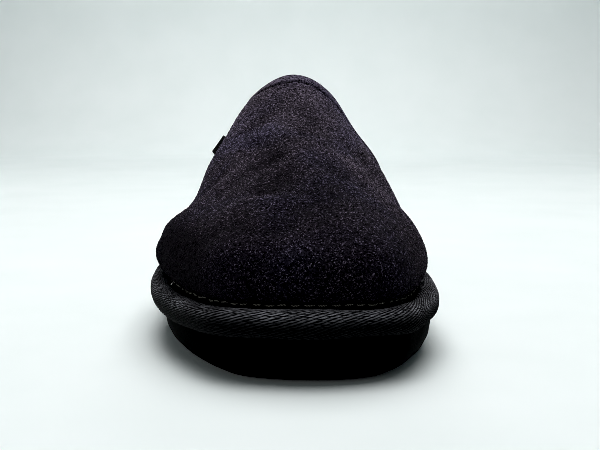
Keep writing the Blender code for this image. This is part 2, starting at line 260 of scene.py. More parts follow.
@dataclass(frozen=True)
class Last:
    """The form that every piece is made on, with the sizes of the solids."""

    sole_length: float = 282.0
    toe_tip_x: float = 9.0
    heel_tip_x: float = 0.0
    forefoot_thick: float = 15.0
    heel_thick: float = 19.0
    climb_start: float = 0.35
    climb_run: float = 0.4
    toe_spring: float = 2.4
    tread_spring: float = 0.6
    spring_run: float = 40.0
    arch_rise: float = 2.5
    arch_start: float = 124.0
    arch_end: float = 190.0
    heel_roll: float = 1.5
    heel_roll_run: float = 14.0
    binding_out: float = 4.2
    binding_in: float = 3.4
    binding_tall: float = 7.6
    swell_height: float = 31.0
    flank_levels: tuple[float, ...] = (0.35, 0.65, 0.88)
    collar_rake: float = 0.85
    box_samples: int = 361
    normal_step: float = 0.01

    @property
    def upper_inset(self) -> float:
        """How far inside the sole's side the upper stands."""
        return self.binding_in + GAP

    @property
    def collar_foot(self) -> float:
        """How far behind the tip the collar meets the sole."""
        return SECTIONS[-1].foot

    @cached_property
    def middle_x(self) -> float:
        """The x of the middle of the slipper's box, which the binding sets.

        Returns:
            The x in millimetres.
        """
        turns = np.linspace(-math.pi, math.pi, self.box_samples)
        x = self.edge(turns, np.array(self.binding_out))[:, 0]
        return float((x.min() + x.max()) / 2)

    def metres(self, points: Array) -> Array:
        """Points (x, back, z) in millimetres as points in metres in the frame of the solids."""
        return (points - [self.middle_x, self.sole_length / 2, 0]) * MM

    def turn_at(self, back: Array) -> Array:
        """Turn round the sole at a distance behind its tip: its cosine falls evenly from toe to heel."""
        return np.arccos(1 - 2 * np.asarray(back, float) / self.sole_length)

    def edge_line(self, turn: Array) -> Array:
        """The sole's side in plan: x on a smooth curve through the edge table, back on a cosine.

        Args:
            turn: Turns from -pi to pi, below zero on the outer side and above on the inner.

        Returns:
            Points (x, back).
        """
        share, outer, inner = np.array(SOLE_EDGE).T
        turns = self.turn_at(share * self.sole_length)
        ends = [-2 * math.pi + turns[-1], -math.pi], [math.pi, 2 * math.pi - turns[-1]]
        knots = np.concatenate([ends[0], -turns[::-1], [0], turns, ends[1]])
        xs = [inner[-1], self.heel_tip_x, *outer[::-1], self.toe_tip_x, *inner, self.heel_tip_x, outer[-1]]
        back = self.sole_length / 2 * (1 - np.cos(turn))
        return np.stack([curve_at(knots, np.array(xs)[:, None], turn)[..., 0], back], axis=-1)

    def edge(self, turn: Array, out: Array) -> Array:
        """The sole's side, moved out along its own normal.

        Args:
            turn: Turns round the sole.
            out: Distances to move out, of a shape that goes with turn.

        Returns:
            Points (x, back).
        """
        along = self.edge_line(turn + self.normal_step) - self.edge_line(turn - self.normal_step)
        normal = unit(np.stack([along[..., 1], -along[..., 0]], axis=-1))
        return self.edge_line(turn) + np.asarray(out)[..., None] * normal

    def spring(self, back: Array, rise: float | None = None) -> Array:
        """How far the sole turns up at the toe: the rise times the square of the share of the run left."""
        rise = self.toe_spring if rise is None else rise
        return rise * np.clip(1 - back / self.spring_run, 0, 1) ** 2

    def sole_top(self, back: Array) -> Array:
        """Height of the outsole's upper face: the forefoot's, eased up to the heel's, plus the spring."""
        climb = ease((back / self.sole_length - self.climb_start) / self.climb_run)
        return self.forefoot_thick + (self.heel_thick - self.forefoot_thick) * climb + self.spring(back)

    def sole_bottom(self, back: Array) -> Array:
        """Height of the tread: the spring, a squared sine under the arch and a square at the heel.

        Args:
            back: Distances behind the tip.

        Returns:
            A height above the floor for each.
        """
        arch = np.clip((back - self.arch_start) / (self.arch_end - self.arch_start), 0, 1)
        roll = np.clip((back - self.sole_length + self.heel_roll_run) / self.heel_roll_run, 0, 1)
        spring = self.spring(back, self.tread_spring)
        return spring + self.arch_rise * np.sin(math.pi * arch) ** 2 + self.heel_roll * roll**2

    def rib(self, foot: Array) -> dict[str, Array]:
        """The last's sections, read at distances behind the tip, as one array for each column."""
        knots = self.turn_at([row.foot for row in SECTIONS])
        return dict(zip(Section._fields, curve_at(knots, np.array(SECTIONS), self.turn_at(foot)).T))

    def ridge_slope(self, foot: Array) -> Array:
        """Rise of the ridge line per millimetre it runs back, over a millimetre each way.

        Args:
            foot: Where each rib stands, behind the tip.

        Returns:
            A slope for each rib.
        """
        ahead = self.rib(np.maximum(foot - 1, 0))
        behind = self.rib(np.minimum(foot + 1, self.collar_foot))
        return (behind["ridge_z"] - ahead["ridge_z"]) / (behind["ridge_back"] - ahead["ridge_back"])

    def flank(self, foot: Array, side: Side, at: Array) -> Array:
        """One side of the upper: for each rib, a smooth curve through seven knots from sole to ridge.

        The curve stands straight behind the binding, swells out over it and leans in to the ridge, which it
        meets level across. At the toe its plan is straight to the ridge. Towards the collar it runs forward
        as it climbs, by the height's share to the power of the rake.

        Args:
            foot: Where each rib stands, behind the tip.
            side: The outer or the inner side.
            at: Places along the knots, from 0 at the sole to 6 at the ridge.

        Returns:
            Points (x, back, z), a row for each rib.
        """
        row = self.rib(foot)
        name = side.name.lower()
        shares = np.stack([row[f"{name}_{level}"] for level in ("low", "mid", "high")])
        base = self.edge(side.value * self.turn_at(foot), np.full(foot.shape, -self.upper_inset))
        top = np.stack([row["ridge_x"], row["ridge_back"]], axis=-1)
        way = top - base
        reach = np.linalg.norm(way, axis=-1)
        floor = self.sole_top(base[:, 1]) + GAP
        swell_z = self.swell_height + self.spring(base[:, 1])
        out = (row[f"{name}_swell"] + self.upper_inset) / reach
        zero = np.zeros_like(out)
        ins = np.stack([zero, zero, -out, *(shares * (1 + out) - out), zero + 1], axis=-1)
        climbs = [swell_z + level * (row["ridge_z"] - swell_z) for level in self.flank_levels]
        heights = np.stack([floor, floor + self.binding_tall, swell_z, *climbs, row["ridge_z"]], axis=-1)
        bow = ease(foot / SECTIONS[-2].foot)
        knots = np.stack([ins * reach[:, None], heights], axis=-1)
        chord = run_along(knots, axis=1)
        slopes = knot_slopes(chord, knots)
        slopes[:, -1] = unit(np.stack([reach, self.ridge_slope(foot) * way[:, 1] * (1 - bow)], axis=-1))
        k = np.minimum(at.astype(int), knots.shape[1] - 2)
        wide = np.diff(chord, axis=1)[:, k, None]
        t = (at - k)[:, None]
        curve = hermite(knots[:, k], knots[:, k + 1], slopes[:, k] * wide, slopes[:, k + 1] * wide, t)
        share = curve[..., 0] / reach[:, None]
        climb = np.clip((curve[..., 1] - floor[:, None]) / (row["ridge_z"] - floor)[:, None], 0, 1)
        bent = (1 - bow)[:, None] * share + bow[:, None] * climb**self.collar_rake
        x = base[:, :1] + way[:, :1] * share
        back = base[:, 1:] + way[:, 1:] * bent
        return np.stack([x, back, curve[..., 1]], axis=-1)

    def slab(
        self, turns: Array, outs: dict[Side, Array], levels: tuple[Any, Any], corners: tuple[float, float],
        steps: SlabSteps,
    ) -> Slab:
        """A slab across the sole: closed sections from toe to heel, with quarter circles at the corners.

        Args:
            turns: Where the sections stand, from 0 at the toe to pi at the heel.
            outs: How far the slab's edge lies outside the sole's side, at each turn of each side.
            levels: Functions of back that give the heights of the underside and of the top.
            corners: Radii of the lower and of the upper corners.
            steps: How many points the section's stretches have.

        Returns:
            The slab, with shares across from -1 outside to 1 inside.
        """
        bottom, top = levels
        quarter = np.linspace(0, math.pi / 2, steps.corner)

        def edge_of(side: Side) -> Array:
            """One side of the slab: the lower corner, the straight side and the upper corner.

            Args:
                side: The outer or the inner side.

            Returns:
                Points from the underside up to the top, a row for each section.
            """
            low, high = (
                self.edge(side.value * turns[:, None], outs[side][:, None] + radius * (np.sin(quarter) - 1))
                for radius in corners)
            lifts = 1 - np.cos(quarter)
            rising = np.dstack([low, bottom(low[..., 1]) + corners[0] * lifts])
            falling = np.dstack([high, top(high[..., 1]) - corners[1] * lifts])[:, ::-1]
            rise = np.linspace(0, 1, steps.side + 2)[1:-1, None]
            wall = rising[:, -1:] + (falling[:, :1] - rising[:, -1:]) * rise
            return np.concatenate([rising, wall, falling], axis=1)

        def across(start: Array, end: Array, level: Any, count: int) -> Array:
            """The underside or the top: even steps between two sides, at a level's height.

            Args:
                start: Points of the side that it leaves.
                end: Points of the side that it reaches.
                level: Function of back that gives the height.
                count: Points between the sides.

            Returns:
                The points, a row for each section.
            """
            share = np.linspace(0, 1, count + 2)[1:-1, None]
            points = start[:, None] + (end - start)[:, None] * share
            points[..., 2] = level(points[..., 1])
            return points

        outer, inner = edge_of(Side.OUTER), edge_of(Side.INNER)
        under = across(outer[:, 0], inner[:, 0], bottom, steps.under)
        over = across(inner[:, -1], outer[:, -1], top, steps.over)
        rim = np.ones(outer.shape[1])
        share = np.concatenate([
            -rim, np.linspace(-1, 1, steps.under + 2)[1:-1], rim, np.linspace(1, -1, steps.over + 2)[1:-1],
        ])
        first = outer.shape[1]
        return Slab(
            np.concatenate([outer[:, ::-1], under, inner, over], axis=1), share,
            slice(first, first + steps.under), slice(len(share) - steps.over, len(share)),
        )


LAST = Last()


def grid_quads(rows: int, cols: int, round_rows: bool = False, round_cols: bool = False) -> Array:
    """Quads that join each point of a grid to the next one along its row and its column.

    Args:
        rows: Rows of the grid.
        cols: Points in a row, so that point c of row r has the number r times cols plus c.
        round_rows: Whether the last row joins the first.
        round_cols: Whether the last point of a row joins its first.

    Returns:
        Four point numbers for each quad.
    """
    r = np.arange(rows if round_rows else rows - 1)[:, None]
    c = np.arange(cols if round_cols else cols - 1)[None, :]
    up, on = (r + 1) % rows, (c + 1) % cols
    corners = (r * cols + c, r * cols + on, up * cols + on, up * cols + c)
    return np.stack(np.broadcast_arrays(*corners), axis=-1).reshape(-1, 4)


def grid_normals(points: Array) -> Array:
    """Normals of a grid: the cross product of its steps down the rows and along them."""
    return unit(np.cross(np.gradient(points, axis=0), np.gradient(points, axis=1)))


def new_piece(
    name: str, points: Array, faces: Array, uv: Array | None = None, closed: bool = True, **marks: Array,
) -> bpy.types.Object:
    """A smooth object from points in millimetres, with the points that fall on each other merged.

    Args:
        name: Name of the piece.
        points: Points (x, back, z), in any grid.
        faces: Point numbers of each face.
        uv: Place on the pattern of each corner of each face, where the finish follows the surface.
        closed: Whether the piece is a closed body, whose faces are then turned outwards.
        marks: Named values of the points, which a finish may read.

    Returns:
        The object, at the origin.
    """
    mesh = bpy.data.meshes.new(name)
    mesh.from_pydata(LAST.metres(points.reshape(-1, 3)).tolist(), [], faces.tolist())
    if uv is not None:
        mesh.uv_layers.new(name="pattern").uv.foreach_set("vector", uv.astype(np.float32).ravel())
    for mark, values in marks.items():
        layer = mesh.attributes.new(mark, "FLOAT", "POINT")
        layer.data.foreach_set("value", values.astype(np.float32).ravel())
    shape = bmesh.new()
    shape.from_mesh(mesh)
    bmesh.ops.remove_doubles(shape, verts=shape.verts, dist=WELD)
    bmesh.ops.dissolve_degenerate(shape, edges=shape.edges, dist=WELD)
    if closed:
        bmesh.ops.recalc_face_normals(shape, faces=shape.faces)
    shape.to_mesh(mesh)
    shape.free()
    mesh.shade_smooth()
    piece = bpy.data.objects.new(name, mesh)
    bpy.context.scene.collection.objects.link(piece)
    return piece


def spindles(lines: Array, ups: Array, radii: Array, sides: int) -> tuple[Array, Array]:
    """Closed strands: a ring of points round each place of each line, drawn to a point at both ends.

    Args:
        lines: Centre lines, as strands by places by (x, back, z).
        ups: A direction for each strand that isn't along it, from which the rings are turned.
        radii: Radius at each place, for all strands or for each.
        sides: Points in a ring.

    Returns:
        The points and the quads between them.
    """
    count, places = lines.shape[:2]
    along = unit(np.gradient(lines, axis=1))
    across = unit(np.cross(along, ups[:, None] if ups.ndim == 2 else ups))
    upward = np.cross(across, along)
    angle = np.linspace(0, 2 * math.pi, sides, endpoint=False)[:, None]
    taper = np.broadcast_to(radii, (count, places)).copy()
    taper[:, [0, -1]] = 0
    ring = np.cos(angle) * across[:, :, None] + np.sin(angle) * upward[:, :, None]
    points = lines[:, :, None] + ring * taper[:, :, None, None]
    faces = grid_quads(places, sides, round_cols=True)
    offsets = np.arange(count)[:, None, None] * places * sides
    return points, (faces + offsets).reshape(-1, 4)


def linear(hexed: str) -> tuple[float, float, float, float]:
    """An sRGB hex colour as linear red, green, blue and alpha."""
    values = [int(hexed[i:i + 2], 16) / 255 for i in (1, 3, 5)]
    return (*(v / 12.92 if v <= 0.04045 else ((v + 0.055) / 1.055) ** 2.4 for v in values), 1.0)


def per_metre(size: float) -> float:
    """Texture scale that makes a pattern's cells this many millimetres wide."""
    return 1 / (size * MM)


def add_node(tree: Any, kind: str, settings: dict[Any, Any], links: dict[Any, Any] | None = None) -> Any:
    """Adds a node with its settings and links.

    Args:
        tree: Node tree that the node goes into.
        kind: Blender's name of the node's type.
        settings: Values by the name of a property, or by the name or number of an input.
        links: Output sockets by the name or number of the input that each goes into.

    Returns:
        The node.
    """
    node = tree.nodes.new(kind)
    for key, value in settings.items():
        if isinstance(key, int) or key in node.inputs:
            node.inputs[key].default_value = value
        else:
            setattr(node, key, value)
    for key, source in (links or {}).items():
        tree.links.new(source, node.inputs[key])
    return node


@dataclass(frozen=True)
class Finish:
    """A material: its name, two tones and how it takes the light."""

    name: str
    dark: str
    light: str
    roughness: float = 0.9
    specular: float = 0.2
    sheen: float = 0.0
    sheen_roughness: float = 0.4
    sheen_tint: str = "#ffffff"

    def material(self) -> bpy.types.Material:
        """Makes the finish a node material, with the constants on the shader's own sockets.

        Returns:
            The material.
        """
        made = bpy.data.materials.new(self.name)
        made.use_nodes = True
        tree = made.node_tree
        tree.nodes.clear()
        place = add_node(tree, "ShaderNodeTexCoord", {})
        colour, height, depth = self.pattern(tree, place)
        bump = add_node(tree, "ShaderNodeBump", {
            "Strength": 1.0, "Distance": depth * MM}, {"Height": height})
        shader = add_node(tree, "ShaderNodeBsdfPrincipled", {
            "Roughness": self.roughness,
            "Specular IOR Level": self.specular,
            "Sheen Weight": self.sheen,
            "Sheen Roughness": self.sheen_roughness,
            "Sheen Tint": linear(self.sheen_tint),
        }, {"Base Color": colour, "Normal": bump.outputs[0]})
        add_node(tree, "ShaderNodeOutputMaterial", {}, {"Surface": shader.outputs[0]})
        return made

    def pattern(self, tree: Any, place: Any) -> tuple[Any, Any, float]:
        """The pattern of the surface, which each finish draws in its own way.

        Args:
            tree: The material's node tree.
            place: Its texture coordinate node.

        Returns:
            The colour, the height and its depth in millimetres.
        """
        raise NotImplementedError

    def tones(self, tree: Any, share: Any) -> Any:
        """The colour between the dark and the light tone."""
        return add_node(tree, "ShaderNodeMix", {
            "data_type": "RGBA", MIX_FIRST: linear(self.dark), MIX_SECOND: linear(self.light),
        }, {MIX_SHARE: share}).outputs[MIX_RESULT]


@dataclass(frozen=True)
class Suede(Finish):
    """Sheepskin suede: the flesh side of the skin, sanded to a short nap and dyed.

    It is dull head-on and paler at its rims, where the light catches the tips of the nap, and the nap lies
    in small curled tufts.
    """

    name: str = "sheepskin_suede"
    dark: str = "#020203"
    light: str = "#8b7e91"
    cool: str = "#807793"
    roughness: float = 1.0
    specular: float = 0.04
    sheen: float = 0.08
    sheen_roughness: float = 0.35
    sheen_tint: str = "#a89cab"
    tuft: float = 0.9
    tuft_rough: float = 0.75
    tuft_limits: tuple[float, float] = (0.4, 0.62)
    patch: float = 34.0
    patch_rough: float = 0.5
    patch_limits: tuple[float, float] = (0.42, 0.6)
    detail: float = 3.0
    curl: float = 0.5
    depth: float = 0.8

    def pattern(self, tree: Any, place: Any) -> tuple[Any, Any, float]:
        """Curled tufts with finer fibres in them, paler where the painted light is stronger, and bluer in
        patches.

        Args:
            tree: The material's node tree.
            place: Its texture coordinate node.

        Returns:
            The colour, the height and its depth in millimetres.
        """
        tufts, patches = (add_node(tree, "ShaderNodeTexNoise", {
            "Scale": per_metre(size), "Detail": self.detail, "Roughness": rough, "Distortion": self.curl,
        }, {"Vector": place.outputs["Object"]}).outputs[0] for size, rough in (
            (self.tuft, self.tuft_rough), (self.patch, self.patch_rough)))
        spread, blue = (add_node(tree, "ShaderNodeMapRange", {
            "From Min": low, "From Max": high}, {0: noise}).outputs[0] for noise, (low, high) in (
            (tufts, self.tuft_limits), (patches, self.patch_limits)))
        # Painted light and shade from the pieces' mark scales the tufts' tone
        brushed = add_node(tree, "ShaderNodeAttribute", {"attribute_name": "brushed"})
        share = add_node(tree, "ShaderNodeMath", {"operation": "MULTIPLY"},
                         {0: spread, 1: brushed.outputs["Fac"]})
        tip = add_node(tree, "ShaderNodeMix", {
            "data_type": "RGBA", MIX_FIRST: linear(self.light), MIX_SECOND: linear(self.cool),
        }, {MIX_SHARE: blue})
        colour = add_node(tree, "ShaderNodeMix", {"data_type": "RGBA", MIX_FIRST: linear(self.dark)},
                          {MIX_SHARE: share.outputs[0], MIX_SECOND: tip.outputs[MIX_RESULT]})
        return colour.outputs[MIX_RESULT], tufts, self.depth


@dataclass(frozen=True)
class TwillTape(Finish):
    """Cotton twill tape, woven in raised diagonal ribs.

    Each rib is a row of soft yarn floats, with painted shade that makes the grooves between them dark. The
    tape is painted paler on its upper face as painted light and black on its lower face as painted shade,
    with a random pale speckle.
    """

    name: str = "cotton_twill_tape"
    dark: str = "#070708"
    light: str = "#a2a1a9"
    roughness: float = 0.95
    specular: float = 0.06
    sheen: float = 0.05
    sheen_roughness: float = 0.3
    sheen_tint: str = "#c4c2c8"
    scatter: float = 0.9
    float_limits: tuple[float, float] = (0.58, 0.08)
    waver: float = 0.6
    waver_detail: float = 1.0
    depth: float = 0.35

    def pattern(self, tree: Any, place: Any) -> tuple[Any, Any, float]:
        """A float in each cell of the tape's own map, a little off its place, times the ribs' wave.

        Args:
            tree: The material's node tree.
            place: Its texture coordinate node.

        Returns:
            The colour, the height and its depth in millimetres.
        """
        floats = add_node(tree, "ShaderNodeTexVoronoi", {
            "voronoi_dimensions": "2D", "Scale": 1.0, "Randomness": self.scatter,
        }, {"Vector": place.outputs["UV"]})
        edge, middle = self.float_limits
        beads = add_node(tree, "ShaderNodeMapRange", {"From Min": edge, "From Max": middle},
                         {0: floats.outputs["Distance"]})
        ribs = add_node(tree, "ShaderNodeTexWave", {
            "bands_direction": "X", "Scale": WAVE, "Distortion": self.waver, "Detail": self.waver_detail,
        }, {"Vector": place.outputs["UV"]})
        height = add_node(tree, "ShaderNodeMath", {"operation": "MULTIPLY"},
                          {0: beads.outputs[0], 1: ribs.outputs["Fac"]})
        # Painted light and shade: the tone follows the height, so the grooves are painted dark, and the
        # pieces' mark paints the upper face paler and the lower face black
        rubbed = add_node(tree, "ShaderNodeAttribute", {"attribute_name": "rubbed"})
        share = add_node(tree, "ShaderNodeMath", {"operation": "MULTIPLY"},
                         {0: height.outputs[0], 1: rubbed.outputs["Fac"]})
        return self.tones(tree, share.outputs[0]), height.outputs[0], self.depth


@dataclass(frozen=True)
class FoamRubber(Finish):
    """Blown rubber, cut and buffed at its side: dead black, with a fine open grain that takes no gloss."""

    name: str = "blown_rubber"
    dark: str = "#010101"
    light: str = "#060606"
    roughness: float = 0.95
    specular: float = 0.03
    grain: float = 0.7
    detail: float = 3.0
    depth: float = 0.25

    def pattern(self, tree: Any, place: Any) -> tuple[Any, Any, float]:
        """Open cells of the blown rubber, drawn coarser than life so that they show.

        Args:
            tree: The material's node tree.
            place: Its texture coordinate node.

        Returns:
            The colour, the height and its depth in millimetres.
        """
        grain = add_node(tree, "ShaderNodeTexNoise", {
            "Scale": per_metre(self.grain), "Detail": self.detail}, {"Vector": place.outputs["Object"]})
        return self.tones(tree, grain.outputs[0]), grain.outputs[0], self.depth


@dataclass(frozen=True)
class Wool(Finish):
    """Sheep's wool, dyed with the skin: crimped fibres in soft locks, dark and dull with a pale bloom."""

    name: str = "sheep_wool_pile"
    dark: str = "#141214"
    light: str = "#3b373a"
    roughness: float = 1.0
    specular: float = 0.1
    sheen: float = 0.5
    sheen_roughness: float = 0.45
    sheen_tint: str = "#b8b2b4"
    crimp: float = 1.6
    detail: float = 4.0
    kink: float = 1.5
    depth: float = 0.8

    def pattern(self, tree: Any, place: Any) -> tuple[Any, Any, float]:
        """Crimped fibre, as a noise bent on itself.

        Args:
            tree: The material's node tree.
            place: Its texture coordinate node.

        Returns:
            The colour, the height and its depth in millimetres.
        """
        crimp = add_node(tree, "ShaderNodeTexNoise", {
            "Scale": per_metre(self.crimp), "Detail": self.detail, "Distortion": self.kink,
        }, {"Vector": place.outputs["Object"]})
        return self.tones(tree, crimp.outputs[0]), crimp.outputs[0], self.depth


@dataclass(frozen=True)
class Thread(Finish):
    """Bonded sewing thread, three plies twisted: a dull waxed surface with slanting plies."""

    name: str = "grey_bonded_thread"
    dark: str = "#2c2a2a"
    light: str = "#8a867e"
    roughness: float = 0.8
    specular: float = 0.1
    ply: float = 0.5
    waver: float = 0.5
    depth: float = 0.1

    def pattern(self, tree: Any, place: Any) -> tuple[Any, Any, float]:
        """Slanting plies, drawn as bands through space.

        Args:
            tree: The material's node tree.
            place: Its texture coordinate node.

        Returns:
            The colour, the height and its depth in millimetres.
        """
        plies = add_node(tree, "ShaderNodeTexWave", {
            "bands_direction": "DIAGONAL", "Scale": per_metre(self.ply) * WAVE, "Distortion": self.waver,
        }, {"Vector": place.outputs["Object"]})
        return self.tones(tree, plies.outputs["Fac"]), plies.outputs["Fac"], self.depth


@dataclass(frozen=True)
class Ribbon(Finish):
    """Woven polyester ribbon: fine ribs across its length, with a faint satin gloss."""

    name: str = "woven_ribbon"
    dark: str = "#020202"
    light: str = "#070708"
    roughness: float = 0.8
    specular: float = 0.1
    rib: float = 0.6
    waver: float = 0.4
    depth: float = 0.12

    def pattern(self, tree: Any, place: Any) -> tuple[Any, Any, float]:
        """Ribs across the ribbon by its own map, drawn coarser than life so that they show.

        Args:
            tree: The material's node tree.
            place: Its texture coordinate node.

        Returns:
            The colour, the height and its depth in millimetres.
        """
        ribs = add_node(tree, "ShaderNodeTexWave", {
            "bands_direction": "X", "Scale": WAVE / self.rib, "Distortion": self.waver,
        }, {"Vector": place.outputs["UV"]})
        return self.tones(tree, ribs.outputs["Fac"]), ribs.outputs["Fac"], self.depth


@dataclass(frozen=True)
class StudioPaper(Finish):
    """Matt coated backdrop paper: near white with a faint mottle."""

    name: str = "backdrop_paper"
    dark: str = "#eaf1f0"
    light: str = "#f3f8f8"
    roughness: float = 0.9
    specular: float = 0.2
    mottle: float = 60.0
    detail: float = 2.0
    depth: float = 0.02

    def pattern(self, tree: Any, place: Any) -> tuple[Any, Any, float]:
        """A slow mottle.

        Args:
            tree: The material's node tree.
            place: Its texture coordinate node.

        Returns:
            The colour, the height and its depth in millimetres.
        """
        mottle = add_node(tree, "ShaderNodeTexNoise", {
            "Scale": per_metre(self.mottle), "Detail": self.detail}, {"Vector": place.outputs["Object"]})
        return self.tones(tree, mottle.outputs[0]), mottle.outputs[0], self.depth


def dress(piece: bpy.types.Object, finish: Finish, slot: str, *nodes: str) -> None:
    """Gives a piece its finish, and tells the frame what it rides on and what it stands for.

    Args:
        piece: The new piece.
        finish: Its finish.
        slot: The record's material slot that it goes with; not used.
        nodes: The solids that it stands for.
    """
    made = bpy.data.materials.get(finish.name) or finish.material()
    piece.data.materials.append(made)
    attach(piece, BODY)
    if nodes:
        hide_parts(*nodes)
    log.info("%s: %d faces in %s", piece.name, len(piece.data.polygons), finish.name)


@dataclass
class Outsole:
    """Rubber outsole: the solid's form, with a grained side and a fine rippled tread."""

    corners: tuple[float, float] = (10.5, 2.2)
    shift: float = 1.5
    stations: int = 220
    steps: SlabSteps = SlabSteps(6, 6, 84, 12)
    ripple_pitch: float = 6.5
    ripple_deep: float = 0.9
    ripple_swing: float = 3.0
    ripple_swing_length: float = 26.0
    tread_margin: float = 0.10
    tread_end_margin: float = 0.35

    def build(self) -> None:
        """Makes the outsole and dresses it."""
        turns = np.linspace(0, math.pi, self.stations + 1)
        outs = {side: side.value * self.shift * np.sin(turns) for side in Side}
        slab = LAST.slab(turns, outs, (LAST.sole_bottom, LAST.sole_top), self.corners, self.steps)
        points = slab.points
        points[:, slab.under, 2] += self.tread(points[:, slab.under], slab.share[slab.under], turns)
        faces = grid_quads(*points.shape[:2], round_cols=True)
        dress(new_piece("rubber_outsole", points, faces), FoamRubber(), "outsole", "outsole")

    def tread(self, points: Array, share: Array, turns: Array) -> Array:
        """Depth of the ripples: a raised cosine of the distance back, swung by a sine across.

        Args:
            points: Points of the underside.
            share: Their share across the sole, from -1 to 1.
            turns: Turns of their sections.

        Returns:
            How far each point is lifted, nothing near the rim.
        """
        swing = self.ripple_swing * np.sin(2 * math.pi * points[..., 0] / self.ripple_swing_length)
        wave = 0.5 - 0.5 * np.cos(2 * math.pi * (points[..., 1] + swing) / self.ripple_pitch)
        inside = ease((1 - np.abs(share)) / self.tread_margin)
        inside = inside * ease(np.sin(turns) / self.tread_end_margin)[:, None]
        return self.ripple_deep * wave**2 * inside


@dataclass
class Binding:
    """Rolled twill tape round the whole edge, on a grid that follows the ribs of the weave."""

    rib_pitch: float = 2.9
    rib_angle: float = math.radians(16)
    rib_tall: float = 0.3
    rib_columns: int = 6
    around: int = 34
    squareness: float = 2.6
    float_length: float = 0.75
    unevenness: float = 0.16
    uneven_size: float = 30.0
    pulled_up: float = 0.8
    pressed: float = 1.0
    # Painted light and shade of the tape: paler where its face turns up, black where it turns down, and
    # paler towards +x
    rub_from: float = -0.15
    rub_to: float = 0.65
    rub_lean: float = 0.005
    rub_speckle: float = 0.25
    rub_size: float = 11.0
    section_samples: int = 2001
    edge_samples: int = 4001

    def section(self) -> tuple[Array, Array, float]:
        """The tape's section: a superellipse in the solid's box, cut at even distances round it.

        Returns:
            Points (out, up), their outward normals and the way round.
        """
        wide, tall = LAST.binding_out + LAST.binding_in, LAST.binding_tall
        angle = np.linspace(0, 2 * math.pi, self.section_samples) - math.pi / 2
        power = 2 / self.squareness
        shape = np.stack([np.cos(angle), np.sin(angle)], axis=-1)
        shape = np.sign(shape) * np.abs(shape) ** power * [wide / 2, tall / 2]
        run = run_along(shape)
        at = np.linspace(0, run[-1], self.around + 1)[:-1]
        points = np.stack([np.interp(at, run, shape[:, n]) for n in (0, 1)], axis=-1)
        along = np.roll(points, -1, axis=0) - np.roll(points, 1, axis=0)
        normals = unit(np.stack([along[:, 1], -along[:, 0]], axis=-1))
        return points + [LAST.binding_out - wide / 2, tall / 2], normals, float(run[-1])

    def build(self) -> None:
        """Makes the tape: its section carried round the sole's edge, on a grid sheared along the ribs."""
        section, normals, girth = self.section()
        turns = np.linspace(-math.pi, math.pi, self.edge_samples)
        run = run_along(LAST.edge(turns, np.zeros_like(turns)))
        ribs = round(run[-1] / self.rib_pitch)
        pitch = run[-1] / ribs
        wound = round(girth / math.tan(self.rib_angle) / pitch)
        columns = ribs * self.rib_columns
        place = np.arange(columns)[:, None] / columns + np.arange(self.around) / self.around * wound / ribs
        turn = np.interp(place % 1.0 * run[-1], run, turns)
        across = np.arange(columns)[:, None] / self.rib_columns % 1.0 * 2 - 1
        tall = self.rib_tall * np.sqrt(np.clip(1 - across**2, 0, 1))
        middle = np.dstack([LAST.edge(turn, np.broadcast_to(section[:, 0], turn.shape)), turn * 0])
        tall = tall + self.unevenness * lumps(middle, self.uneven_size, Seed.TAPE) - self.rib_tall
        out = section[:, 0] + tall * normals[:, 0]
        drawn = np.where(normals[:, 1] > 0, self.pulled_up, self.pressed)
        up = section[:, 1] + (tall + drawn) * normals[:, 1]
        plan = LAST.edge(turn, out)
        rest = LAST.sole_top(np.clip(plan[..., 1], 0, LAST.sole_length)) + GAP
        points = np.dstack([plan, rest + up])
        faces = self.wound_quads(columns, wound * self.rib_columns)
        row, column = np.meshgrid(np.arange(columns), np.arange(self.around), indexing="ij")
        corner = np.array([[0, 0], [0, 1], [1, 1], [1, 0]])
        along = girth / math.sin(self.rib_angle) / self.around / self.float_length
        uv = np.stack([
            (row[..., None] + corner[:, 0]) / self.rib_columns, (column[..., None] + corner[:, 1]) * along,
        ], axis=-1)
        # Painted light and shade: the tape is paler as its face turns up and towards +x, times a random
        # speckle of tone
        rubbed = ease((normals[:, 1] - self.rub_from) / (self.rub_to - self.rub_from))
        speckle = self.rub_speckle * lumps(middle, self.rub_size, Seed.TAPE_RUB)
        rubbed = rubbed * (1 + self.rub_lean * points[..., 0] + speckle)
        piece = new_piece("twill_edge_binding", points, faces, uv.reshape(-1, 2), rubbed=rubbed)
        dress(piece, TwillTape(), "edge_binding", "edge_binding")

    def wound_quads(self, columns: int, shift: int) -> Array:
        """Quads of a tube whose lines wind round it, so that the last line joins the first some columns on.

        Args:
            columns: Points along the tube.
            shift: Columns that a line gains in one turn round the tube.

        Returns:
            Four point numbers for each quad.
        """
        a = np.arange(columns)[:, None]
        b = np.arange(self.around)[None, :]
        next_b = (b + 1) % self.around
        gain = np.where(b + 1 == self.around, shift, 0)

        def number(row: Array, line: Array) -> Array:
            """Number of the point in a row and on a line of the tube."""
            return row % columns * self.around + line

        corners = (number(a, b), number(a + gain, next_b), number(a + 1 + gain, next_b), number(a + 1, b))
        return np.stack(np.broadcast_arrays(*corners), axis=-1).reshape(-1, 4)


class Crease(NamedTuple):
    """A soft fold of the worn suede, placed by points (x, back, z) on the upper, in millimetres."""

    mark: Mark
    deep: float
    wide: float
    points: tuple[tuple[float, float, float], ...]

    def relief(self, at: Array) -> Array:
        """Height of the fold: a bell curve of the distance to its line, with the sign of its mark.

        Args:
            at: Points on the last.

        Returns:
            A height in millimetres for each point.
        """
        line = np.array(self.points, float)
        start, way = line[:-1], np.diff(line, axis=0)
        off = at[..., None, :] - start
        share = np.clip((off * way).sum(axis=-1) / (way**2).sum(axis=-1), 0, 1)
        gap = np.linalg.norm(off - share[..., None] * way, axis=-1).min(axis=-1)
        return self.mark.value * self.deep * bell(gap, self.wide)
